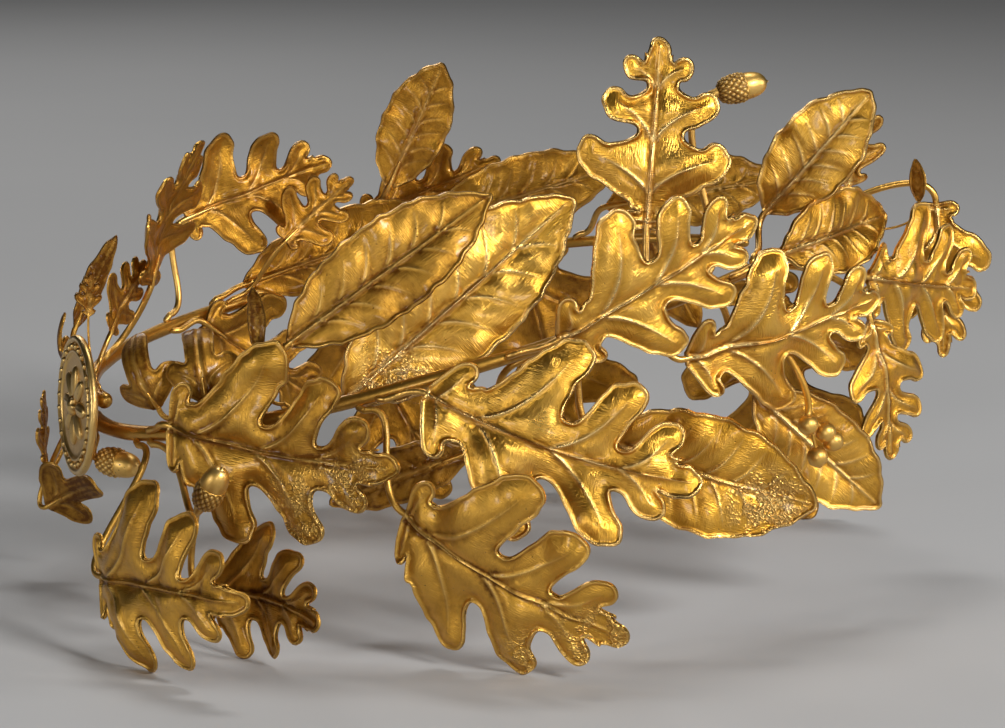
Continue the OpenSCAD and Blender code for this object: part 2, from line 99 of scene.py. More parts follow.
class Lobe(NamedTuple):
    """One lobe and the notch after it, in percent of the blade's length."""

    vein_start: float
    along: float
    out: float
    half_width: float
    notch_along: float = 0.0
    notch_out: float = 0.0
    notch_half: float = 0.0


# One row for each lobe from the stalk to the tip, with the columns of Lobe
LOBES_UPPER = {
    BROAD: (
        (3, 5, 20, 5, 12, 14, 0.8),
        (14, 42, 45, 10, 44, 13, 2.5),
        (40, 71, 34, 8.5, 69, 8, 2),
        (66, 90, 19, 6.5, 91, 8, 0.8),
    ),
    LONG: (
        (3, 12.5, 18, 4.5, 18.5, 12, 0.8),
        (18, 50.5, 41, 9, 51.5, 13, 2.5),
        (45, 75, 31, 7.5, 72, 8, 2),
        (70, 91.5, 19.5, 6, 93, 8.5, 0.8),
    ),
    FULL: (
        (2, 4.5, 20, 4.5, 10.5, 13.5, 0.8),
        (10, 47, 44.5, 10.5, 44, 12.5, 2.5),
        (38, 73, 33, 8.5, 68, 7, 2),
        (62, 90.5, 18.5, 6.5, 93, 7.5, 0.8),
    ),
    CROWN: (
        (3, 6, 14, 5, 12, 11, 0.8),
        (16, 43, 42, 10, 51, 10, 2),
        (44, 71, 29, 8, 75, 6, 2),
        (72, 89, 19, 6, 92, 8, 0.8),
    ),
    CURLED: ((8, 40, 42, 14, 47, 15, 3),),
}
LOBES_LOWER = {
    BROAD: (
        (3, 5, 18, 5, 12, 12, 0.8),
        (14, 42, 42, 9, 44, 14, 2.5),
        (40, 71, 34, 8, 70, 10, 2),
        (66, 89, 18, 6.5, 90, 8, 0.8),
    ),
    LONG: (
        (3, 13.5, 20, 4, 18, 11, 0.8),
        (18, 47.5, 35.5, 7.5, 49.5, 12, 2.5),
        (45, 76.5, 27.5, 7, 73, 9, 2),
        (70, 89, 14.5, 5.5, 91, 6.5, 0.8),
    ),
    FULL: (
        (2, 8, 18, 3, 15, 22, 1),
        (10, 41, 38.5, 8.5, 41.5, 15.5, 2),
        (36, 69.5, 33, 7.5, 69.5, 12, 2),
        (62, 88.5, 17, 6, 91, 7.5, 0.8),
    ),
    CROWN: (
        (3, 6, 14, 5, 12, 11, 0.8),
        (16, 43, 44, 10, 50, 18, 2),
        (44, 71, 35, 8, 76, 13, 2),
        (72, 89, 19, 6, 91, 8, 0.8),
    ),
    CURLED: ((8, 36, 38, 13, 44, 14, 3),),
}

# One row for each place along the midrib, in percent of the blade's length:
# (along, half width of the upper side, half width of the lower side)
OVAL_WIDTHS = {
    OVAL: (
        (0, 2, 2),
        (5, 9, 8),
        (14, 18, 16),
        (28, 25, 23),
        (45, 28, 26),
        (62, 27, 25),
        (77, 22, 20),
        (88, 14, 13),
        (95, 7.5, 7),
    ),
    LANCE: (
        (0, 2, 2),
        (6, 7, 7),
        (16, 14, 13),
        (30, 19, 18),
        (46, 22, 20),
        (62, 21, 19),
        (76, 16, 15),
        (88, 10, 9),
        (95, 5, 5),
    ),
}

# Stands for the height at which the leaf's lowest point touches the table
ON_TABLE = -1000

# Name, pattern, side, station, out, up, heading, pitch, roll, length, width, sweep, bend, cup, slot
LEAF_ROWS = (
    ("left_oak_1", FULL, LEFT, 25, 25, ON_TABLE, 9, 5, 3, 63, 0.94, -7, 16, 60, AGED),
    ("left_oak_2", FULL, LEFT, 35, 5, ON_TABLE, 16, 0, 13, 46, 0.91, -28, -30, 60, AGED),
    ("left_oak_3", FULL, LEFT, 29, 6, 3, -9, -4, 5, 68, 0.92, 15, -10, 60, AGED),
    ("left_oak_4", FULL, LEFT, 67, 12, ON_TABLE, 18, -25, -12, 66, 1.0, 8, 20, 60, AGED),
    ("left_oak_5", LONG, LEFT, 70, 5, -2, 15, -16, 15, 75, 0.92, 22, 15, 60, BRIGHT),
    ("left_oak_6", LONG, LEFT, 89, 5, 2, 7, 30, -8, 60, 0.93, -1, 13, 60, BRIGHT),
    ("left_oak_7", LONG, LEFT, 108, 9, -13, 10, 12, -8, 59, 0.98, 2, 18, 60, BRIGHT),
    ("left_oak_8", CROWN, LEFT, 107, -6, 20, -31, 80, 68, 50, 0.92, 0, 10, 60, BRIGHT),
    ("left_oak_9", LONG, LEFT, 144, 21, -8, 24, -11, -1, 48, 1.13, 4, -17, 60, SATIN),
    ("left_oak_10", LONG, LEFT, 137, 27, -16, 57, -80, 39, 39, 1.01, 0, 10, 60, SATIN),
    ("left_oval_1", OVAL, LEFT, 49, 0, 19, -27, 35, 15, 65, 0.7, 0, 10, 40, AGED),
    ("left_oval_2", OVAL, LEFT, 57, -8, -1, -17, 41, 10, 80, 0.75, 0, 10, 40, BRIGHT),
    ("left_oval_3", OVAL, LEFT, 79, -21, -28, 179, -18, 0, 40, 0.7, 0, 10, 40, AGED),
    ("left_oval_4", OVAL, LEFT, 96, 2, -28, 29, -17, 0, 60, 0.98, 10, 10, 40, SATIN),
    ("left_oval_5", OVAL, LEFT, 135, -3, 12, 68, 50, 0, 44, 0.94, 0, 10, 40, BRIGHT),
    ("left_oval_6", OVAL, LEFT, 128, 9, 5, 2, 5, 15, 50, 0.84, 0, 10, 40, SATIN),
    ("left_oval_7", OVAL, LEFT, 122, 9, -30, 42, -43, 0, 47, 0.95, 0, 10, 40, BRIGHT),
    ("left_curled_1", CURLED, LEFT, 23, 0, 7, -163, 54, -40, 27, 1.01, 0, -130, -110, AGED),
    ("left_curled_2", CURLED, LEFT, 33, -2, 7, -130, 32, -80, 35, 0.81, 0, -150, -120, AGED),
    ("left_bud_1", LANCE, LEFT, 42, -6, 17, 159, 86, 0, 19, 0.55, 0, 60, 200, AGED),
    ("right_oak_1", BROAD, RIGHT, 32, -12, 21, -57, 69, 60, 43, 1.1, 0, 10, 60, SATIN),
    ("right_oak_2", BROAD, RIGHT, 57, 3, 29, -27, 18, 0, 47, 0.9, 0, 10, 60, BRIGHT),
    ("right_oak_3", BROAD, RIGHT, 71, -15, 19, -14, 40, 0, 27, 0.9, 0, 10, 60, SATIN),
    ("right_oak_4", BROAD, RIGHT, 91, -1, 17, -28, 24, 0, 44, 0.7, 0, 10, 60, SATIN),
    ("right_oak_5", BROAD, RIGHT, 57, -4, -1, -17, -36, 0, 48, 0.9, 0, 10, 60, SATIN),
    ("right_oak_6", BROAD, RIGHT, 87, 3, ON_TABLE, -12, -64, 0, 73, 0.9, 0, 10, 60, SATIN),
    ("right_oak_7", BROAD, RIGHT, 118, 5, ON_TABLE, 11, -76, 0, 79, 0.9, 0, 10, 60, SATIN),
    ("right_oval_1", OVAL, RIGHT, 93, -13, 27, -27, 66, 0, 41, 0.9, 0, 10, 40, BRIGHT),
    ("right_oval_2", OVAL, RIGHT, 101, -12, 13, -24, 19, 0, 60, 0.7, 0, 10, 40, BRIGHT),
    ("right_oval_3", OVAL, RIGHT, 68, 0, 5, -35, 18, 0, 67, 0.65, 0, 10, 40, SATIN),
    ("right_oval_4", OVAL, RIGHT, 135, -6, 11, -2, 12, 0, 55, 0.7, 0, 10, 40, BRIGHT),
    ("right_curled_1", CURLED, RIGHT, 18, 14, -38, -135, 22, 30, 26, 1, 0, 60, 60, AGED),
    ("right_oak_8", BROAD, RIGHT, 161, 10, ON_TABLE, 34, -76, 0, 74, 0.9, 0, 10, 60, SATIN),
    ("left_oak_11", BROAD, LEFT, 165, 37, 4, 90, -86, 0, 44, 0.72, 0, 10, 60, SATIN),
    ("left_oak_12", LONG, LEFT, 146, 14, 16, 71, 83, 0, 26, 0.9, 0, 10, 60, SATIN),
    ("left_bud_2", LANCE, LEFT, 156, 31, 8, -75, 84, 0, 12, 0.9, 0, 10, 200, SATIN),
    ("right_oval_5", LANCE, RIGHT, 18, 5, 13, -74, 65, 0, 29, 0.5, 0, 10, 40, AGED),
    ("right_oak_9", LONG, RIGHT, 5, 1, 21, -80, 85, 0, 12, 0.8, 0, 10, 60, SATIN),
    ("right_curled_2", CURLED, RIGHT, 16, 7, 3, -178, 79, 0, 17, 0.9, 0, -60, -60, AGED),
    ("right_oak_10", LONG, RIGHT, 18, 14, -26, -7, 85, 0, 21, 0.65, 0, 10, 60, SATIN),
    ("right_oak_11", LONG, RIGHT, 19, -5, 12, -20, 40, 0, 26, 0.9, 0, 10, 60, SATIN),
    ("right_oval_6", OVAL, RIGHT, 139, 5, 7, 41, -62, 0, 41, 0.8, 0, 10, 40, SATIN),
)

# Name, side, station, out, up, heading, pitch, lead
ACORN_ROWS = (
    ("left_acorn_1", LEFT, 121, -4, 50, 33, 11, 6),
    ("left_acorn_2", LEFT, 39, 17, -18, 15, 55, 16),
    ("left_acorn_3", LEFT, 7, 4, -8, -30, -4, 6),
)


# Vectors and curves

SEEDS = 10000
SWELL_WAVES = 7
SWELL_LENGTHS = (0.7, 1.6)
SWELL_DIVISOR = 3
SHORTEST_SPAN = 1e-6
NEARLY_UPRIGHT = 0.9


def unit(vector: np.ndarray) -> np.ndarray:
    """Scale a vector to length one."""
    return vector / np.linalg.norm(vector)


def seed_of(name: str) -> int:
    """Give the fixed seed that belongs to a piece's name."""
    return zlib.crc32(name.encode()) % SEEDS


def across(line: np.ndarray) -> np.ndarray:
    """Give the left-hand direction of length one at each point of a flat open line."""
    ahead = np.gradient(line, axis=0)
    return np.stack([-ahead[:, 1], ahead[:, 0]], 1) / np.linalg.norm(ahead, axis=1)[:, None]


def across_loop(edge: np.ndarray) -> np.ndarray:
    """Give the left-hand direction of length one at each point of a flat closed line."""
    ahead = np.roll(edge, -1, axis=0) - np.roll(edge, 1, axis=0)
    return np.stack([-ahead[:, 1], ahead[:, 0]], 1) / np.linalg.norm(ahead, axis=1)[:, None]


def hump(distance: np.ndarray, middle: float, width: float) -> np.ndarray:
    """Give a soft hump of height one at a distance, with a given width."""
    return np.exp(-(((distance - middle) / width) ** 2))


def between(at: np.ndarray, start: float, end: float, first: np.ndarray, last: np.ndarray) -> np.ndarray:
    """Mix two points by where a place lies between the knots that they belong to."""
    return (end - at) / (end - start) * first + (at - start) / (end - start) * last


def arc_to(start: float, turn: float, walk: np.ndarray) -> tuple[np.ndarray, np.ndarray]:
    """Follow an arc of constant turn.

    Args:
        start: Direction at the start, in degrees.
        turn: Degrees that the direction turns for each unit walked.
        walk: Lengths walked.

    Returns:
        Distances gone ahead and sideways.
    """
    first = math.radians(start)
    if abs(turn) < NEARLY_STRAIGHT:
        return walk * math.cos(first), walk * math.sin(first)
    last = np.radians(start + turn * walk)
    radius = 180 / (math.pi * turn)
    return radius * (np.sin(last) - math.sin(first)), radius * (math.cos(first) - np.cos(last))


def bezier(a: np.ndarray, b: np.ndarray, c: np.ndarray, d: np.ndarray, steps: int) -> np.ndarray:
    """Sample a cubic curve.

    Args:
        a: Start point.
        b: First handle.
        c: Second handle.
        d: End point.
        steps: Number of pieces the curve is cut into.

    Returns:
        The points, one row each.
    """
    t = np.linspace(0, 1, steps + 1)[:, None]
    return (1 - t) ** 3 * a + 3 * (1 - t) ** 2 * t * b + 3 * (1 - t) * t**2 * c + t**3 * d


def resample(line: np.ndarray, spacing: float) -> np.ndarray:
    """Place points evenly along an open line, its ends included.

    Args:
        line: Points of the line.
        spacing: Wished distance between points.

    Returns:
        The evenly spaced points.
    """
    steps = np.linalg.norm(np.diff(line, axis=0), axis=1)
    walked = np.concatenate([[0], np.cumsum(steps)])
    count = max(2, int(round(walked[-1] / spacing)) + 1)
    at = np.linspace(0, walked[-1], count)
    return np.stack([np.interp(at, walked, line[:, k]) for k in range(line.shape[1])], 1)


def rounded(corners: np.ndarray, samples: int = 12) -> np.ndarray:
    """Draw a smooth open curve through corner points (centripetal Catmull-Rom).

    Args:
        corners: Points that the curve passes through.
        samples: Points drawn for each span.

    Returns:
        Points of the curve.
    """
    points = np.vstack([2 * corners[0] - corners[1], corners, 2 * corners[-1] - corners[-2]])
    curve = []
    for first, second, third, fourth in zip(points[:-3], points[1:-2], points[2:-1], points[3:]):
        spans = ((first, second), (second, third), (third, fourth))
        steps = [math.sqrt(max(np.linalg.norm(b - a), SHORTEST_SPAN)) for a, b in spans]
        k0, k1, k2, k3 = np.cumsum([0] + steps)
        at = np.linspace(k1, k2, samples, endpoint=False)[:, None]
        left = between(at, k0, k1, first, second)
        middle = between(at, k1, k2, second, third)
        right = between(at, k2, k3, third, fourth)
        lower = between(at, k0, k2, left, middle)
        upper = between(at, k1, k3, middle, right)
        curve.append(between(at, k1, k2, lower, upper))
    return np.vstack(curve + [corners[-1:]])


def nearest_on_line(points: np.ndarray, line: np.ndarray) -> tuple[np.ndarray, np.ndarray]:
    """Find how far points are from a line of points.

    Args:
        points: Flat points, one row each.
        line: Corners of the line.

    Returns:
        Each point's distance, and how far along the line its nearest place is, from 0 to 1.
    """
    start = line[:-1]
    step = np.diff(line, axis=0)
    square = np.maximum((step**2).sum(1), NEARLY_NOTHING**2)
    walked = np.concatenate([[0], np.cumsum(np.sqrt(square))])
    offset = points[:, None, :] - start[None]
    part = np.clip((offset * step).sum(2) / square, 0, 1)
    gap = np.linalg.norm(offset - part[:, :, None] * step[None], axis=2)
    best = gap.argmin(1)
    rows = np.arange(len(points))
    along = walked[best] + part[rows, best] * np.sqrt(square)[best]
    return gap[rows, best], along / walked[-1]


def swell(points: np.ndarray, seed: int, wavelength: float) -> np.ndarray:
    """Give a smooth random height at flat points, within about one either way.

    Args:
        points: Flat points, one row each.
        seed: Seed of the random waves.
        wavelength: Distance between crests.

    Returns:
        A height for each point.
    """
    rng = np.random.default_rng(seed)
    height = np.zeros(len(points))
    for _ in range(SWELL_WAVES):
        angle = rng.uniform(0, FULL_TURN)
        turns = FULL_TURN / (wavelength * rng.uniform(*SWELL_LENGTHS))
        wave = points[:, 0] * math.cos(angle) + points[:, 1] * math.sin(angle)
        height += np.sin(wave * turns + rng.uniform(0, FULL_TURN))
    return height / SWELL_DIVISOR


# The head ring


@dataclass(frozen=True)
class HeadRing:
    """The two branches' middle lines, an oval seen from above with a height for each station."""

    half_width: float = 84.0
    half_length: float = 102.0
    left_heights: tuple[float, float, float] = (51.0, 82.0, 100.0)
    right_heights: tuple[float, float, float] = (58.0, 72.0, 86.0)
    front_d: float = 4.4
    back_d: float = 2.6
    first_station: float = -5.0
    last_station: float = 166.0

    def height(self, side: Side, station: float) -> float:
        """Give the branch's height above the table at a station."""
        front, middle, back = self.left_heights if side == LEFT else self.right_heights
        x = -math.cos(math.radians(station))
        return middle + (back - front) / 2 * x + ((back + front) / 2 - middle) * x * x

    def point(self, side: Side, station: float) -> np.ndarray:
        """Give the branch's middle at a station."""
        angle = math.radians(station)
        return np.array(
            [
                side * self.half_width * math.sin(angle),
                -self.half_length * math.cos(angle),
                self.height(side, station),
            ]
        )

    def along(self, side: Side, station: float) -> np.ndarray:
        """Give the level direction in which the branch runs back."""
        angle = math.radians(station)
        return unit(
            np.array([side * self.half_width * math.cos(angle), self.half_length * math.sin(angle), 0])
        )

    def out(self, side: Side, station: float) -> np.ndarray:
        """Give the level direction away from the head."""
        along = self.along(side, station)
        return np.array([side * along[1], -side * along[0], 0])

    def radius(self, station: float) -> float:
        """Give the branch's radius at a station."""
        return (self.front_d + (self.back_d - self.front_d) * max(0.0, station) / 180) / 2

    def beside(self, side: Side, station: float, out: float, up: float) -> np.ndarray:
        """Give the point that is out and up from the branch at a station."""
        return self.point(side, station) + out * self.out(side, station) + up * UP

    def axes(self, side: Side, station: float, heading: float, pitch: float, roll: float) -> np.ndarray:
        """Find how something beside the branch is turned.

        Args:
            side: The branch's side.
            station: Degrees round the ring from the medallion.
            heading: Degrees outward from the branch's direction.
            pitch: Degrees upward.
            roll: Degrees that the face turns up.

        Returns:
            Three rows: ahead, across the upper half, and out of the face.
        """
        h, p, r = (math.radians(a) for a in (heading, pitch, roll))
        along = self.along(side, station)
        out = self.out(side, station)
        forward = math.cos(h) * along + math.sin(h) * out
        face = math.cos(h) * out - math.sin(h) * along
        ahead = math.cos(p) * forward + math.sin(p) * UP
        rise = math.cos(p) * UP - math.sin(p) * forward
        return np.array(
            [ahead, math.cos(r) * rise - math.sin(r) * face, math.cos(r) * face + math.sin(r) * rise]
        )


@dataclass(frozen=True)
class Stalk:
    """A round stalk that leaves its branch, runs beside it and carries a leaf or fruit."""

    ring: HeadRing
    radius: float = 0.95
    lead: float = 6.0
    gap: float = 0.3
    corner: float = 1.8 / 2 * math.sqrt(math.pi) / 2 * math.sqrt(2)
    steps: int = 26
    sides: int = 12
    handle: float = 0.4
    tail_along: float = 1.6
    tail_inward: float = 1.1

    def path(
        self, side: Side, station: float, out: float, up: float, heading: float, ahead: np.ndarray
    ) -> np.ndarray:
        """Lay the stalk from the foot of what it carries back into its branch.

        Args:
            side: The branch's side.
            station: Station of the foot.
            out: Millimetres from the branch outward to the foot.
            up: Millimetres from the branch upward to the foot.
            heading: Heading of what the stalk carries, in degrees.
            ahead: Direction of what the stalk carries.

        Returns:
            Points from the foot to the root.
        """
        foot = self.ring.beside(side, station, out, up)
        lead = self.lead if math.cos(math.radians(heading)) < 0 else -self.lead
        root = station + lead
        clear = self.ring.radius(root) + self.corner + self.gap
        aside = clear / math.hypot(out, up)
        start = self.ring.beside(side, root, aside * out, aside * up)
        reach = self.handle * np.linalg.norm(foot - start)
        along = unit(self.ring.point(side, station) - self.ring.point(side, root))
        curve = bezier(foot, foot - reach * ahead, start + reach * along, start, self.steps)
        inward = unit(self.ring.point(side, root) - start)
        tail = start - along * self.tail_along + inward * self.tail_inward
        return np.vstack([curve, tail])


# Meshes


@dataclass
class MeshParts:
    """Gathers closed shells, with their marks of brown film, wear and crumples, into one mesh; on leaves
    part of the brown film is painted shade, and crumples get painted glints.
    """

    points: list[np.ndarray] = field(default_factory=list)
    faces: list[tuple[int, ...]] = field(default_factory=list)
    marks: list[np.ndarray] = field(default_factory=list)
    blade: list[np.ndarray] = field(default_factory=list)
    count: int = 0

    def add(
        self,
        points: np.ndarray,
        faces: list[tuple[int, ...]],
        marks: np.ndarray | None = None,
        blade: np.ndarray | None = None,
    ) -> None:
        """Add a shell.

        Args:
            points: Its points in millimetres.
            faces: Its faces, as point numbers of this shell.
            marks: For each point: how much brown film it gets, which is tarnish in recesses and on leaves
                also painted shade, how worn bright and how crumpled it is, crumples also being painted pale
                as glints, each 0 to 1.
            blade: For each point: millimetres along and across the piece, and the piece's seed.
        """
        first = self.count
        self.points.append(points)
        self.faces.extend(tuple(first + k for k in face) for face in faces)
        self.marks.append(np.zeros((len(points), 3)) if marks is None else marks)
        self.blade.append(points.copy() if blade is None else blade)
        self.count += len(points)

    def build(self, name: str) -> bpy.types.Object:
        """Make the mesh object.

        Args:
            name: Name of the object.

        Returns:
            The new object, linked to the scene.
        """
        mesh = bpy.data.meshes.new(name)
        mesh.from_pydata((np.vstack(self.points) * MILLIMETRE).tolist(), [], self.faces)
        for label, rows in (("marks", self.marks), ("blade", self.blade)):
            layer = mesh.attributes.new(label, "FLOAT_VECTOR", "POINT")
            layer.data.foreach_set("vector", np.vstack(rows).astype(np.float32).ravel())
        mesh.polygons.foreach_set("use_smooth", [True] * len(mesh.polygons))
        mesh.update()
        piece = bpy.data.objects.new(name, mesh)
        bpy.context.scene.collection.objects.link(piece)
        return piece


# Ends of a tube: how far back from the end, and how wide, in parts of its radius
TUBE_CAP = ((-0.95, 0.35), (-0.6, 0.8))


def rings_of_faces(rings: int, sides: int) -> list[tuple[int, ...]]:
    """Join rings of points into a shell that is closed at both ends.

    Args:
        rings: Number of rings.
        sides: Points in each ring.

    Returns:
        The faces.
    """
    faces = [tuple(range(sides))[::-1]]
    for i in range(rings - 1):
        for k in range(sides):
            a, b = i * sides + k, i * sides + (k + 1) % sides
            faces.append((a, b, b + sides, a + sides))
    last = (rings - 1) * sides
    faces.append(tuple(last + k for k in range(sides)))
    return faces


def tube(path: np.ndarray, radii: np.ndarray, sides: int, guide: np.ndarray) -> tuple[np.ndarray, list]:
    """Make a closed round tube with rounded ends.

    Args:
        path: Points of its middle line.
        radii: Its radius at each point.
        sides: Points round the tube.
        guide: A direction that the path never runs in.

    Returns:
        Its points and faces.
    """
    heading = np.gradient(path, axis=0)
    heading /= np.linalg.norm(heading, axis=1)[:, None]
    at, radius, ahead = path[0], radii[0], heading[0]
    rows = [(at + radius * back * ahead, radius * part, ahead) for back, part in TUBE_CAP]
    rows += list(zip(path, radii, heading))
    at, radius, ahead = path[-1], radii[-1], heading[-1]
    rows += [(at - radius * back * ahead, radius * part, ahead) for back, part in reversed(TUBE_CAP)]
    angles = np.linspace(0, FULL_TURN, sides, endpoint=False)
    points = []
    side = guide
    for middle, radius, ahead in rows:
        side = unit(side - (side @ ahead) * ahead)
        over = np.cross(ahead, side)
        points.append(middle + radius * (np.outer(np.cos(angles), side) + np.outer(np.sin(angles), over)))
    return np.vstack(points), rings_of_faces(len(rows), sides)


def turned(profile: np.ndarray, sides: int) -> tuple[np.ndarray, list]:
    """Turn an outline round +Z into a closed shell.

    Args:
        profile: Rows of radius and height, whose first and last radius are nearly nothing.
        sides: Points round the axis.

    Returns:
        Its points and faces.
    """
    angles = np.linspace(0, FULL_TURN, sides, endpoint=False)
    points = np.vstack(
        [np.stack([r * np.cos(angles), r * np.sin(angles), np.full(sides, z)], 1) for r, z in profile]
    )
    return points, rings_of_faces(len(profile), sides)


def pointing(direction: np.ndarray) -> np.ndarray:
    """Find the rows that turn +Z into a direction.

    Args:
        direction: Where +Z goes.

    Returns:
        Three rows, the turned X, Y and Z.
    """
    ahead = unit(direction)
    guide = UP if abs(ahead @ UP) < NEARLY_UPRIGHT else np.array([1.0, 0.0, 0.0])
    over = unit(np.cross(guide, ahead))
    return np.array([over, np.cross(ahead, over), ahead])


# Flat leaves


@dataclass
class FlatBlade:
    """A leaf's blade before it is bent, with the relief that was worked into it."""

    points: np.ndarray
    triangles: np.ndarray
    rim: np.ndarray
    rise: np.ndarray
    lip: np.ndarray
    marks: np.ndarray


@dataclass(frozen=True)
class Relief:
    """How a leaf's sheet was worked, in millimetres on a leaf of full size."""

    full_length: float = 55.0
    spacing: float = 0.85
    rim_steps: tuple[float, ...] = (0.2, 0.42, 0.68, 1.0, 1.4)
    vein_sides: tuple[float, ...] = (0, 0.3, -0.3, 0.6, -0.6, 1.0, -1.0)
    midrib_rise: float = 0.75
    vein_rise: float = 0.6
    vein_width: float = 0.33
    vein_step: float = 0.6
    groove: float = 0.6
    pillow: float = 0.85
    pillow_from_vein: float = 3.4
    pillow_from_edge: float = 2.6
    dome: float = 2.3
    dome_reach: float = 5.6
    lip_rise: float = 0.4
    lip_inward: float = 0.32
    lip_width: float = 0.4
    roll_rise: float = 1.0
    roll_inward: float = 0.5
    roll_width: float = 0.55
    hollow_inward: float = 1.9
    hollow_width: float = 0.5
    rim_groove: float = 0.2
    rim_groove_inward: float = 1.15
    rim_groove_width: float = 0.35
    unevenness: float = 0.07
    uneven_length: float = 9.0
    fine_unevenness: float = 0.03
    fine_length: float = 4.0
    sway: float = 1.25
    sway_length: float = 21.0
    sway_from_stalk: float = 8.0
    ripple: float = 0.0


# Lengthening of a lobe's rounded end, and the directions of its corners in degrees
CAP_REACH = 1.45
CAP_ANGLES = (90, 52, 18, -18, -52, -90)
CURLED_TIP = Lobe(50, 100, 0, 15)
OAK_TIP = Lobe(84, 101, 0, 7)

# Waves of the cut edge: length and depth in millimetres
EDGE_WAVES = ((11, 0.16), (6.5, 0.2), (4, 0.06))

# Distance at which two points of a blade count as one
SAME_POINT = 1e-5

# Pairs of side veins of the leaves without lobes
OVAL_VEINS = {OVAL: 6, LANCE: 4}


def lobe_cap(lobe: Lobe) -> list[np.ndarray]:
    """Give the corners of a lobe's rounded end, which is longer than it is wide."""
    ahead = unit(np.array([lobe.along - lobe.vein_start, lobe.out], float))
    left = np.array([-ahead[1], ahead[0]])
    tip = np.array([lobe.along, lobe.out], float)
    corners = []
    for degrees in CAP_ANGLES:
        a = math.radians(degrees)
        corners.append(tip + lobe.half_width * (CAP_REACH * (math.cos(a) - 1) * ahead + math.sin(a) * left))
    return corners


def lobed_side(rows: tuple[tuple[float, ...], ...]) -> list[np.ndarray]:
    """Give one side's corners of an oak leaf, from the stalk to the tip.

    Args:
        rows: Its lobes.

    Returns:
        The corners, in percent of the blade's length.
    """
    corners = []
    for row in rows:
        lobe = Lobe(*row)
        corners += lobe_cap(lobe)
        corners += [
            np.array([lobe.notch_along - lobe.notch_half, lobe.notch_out]),
            np.array([lobe.notch_along + lobe.notch_half, lobe.notch_out]),
        ]
    return corners


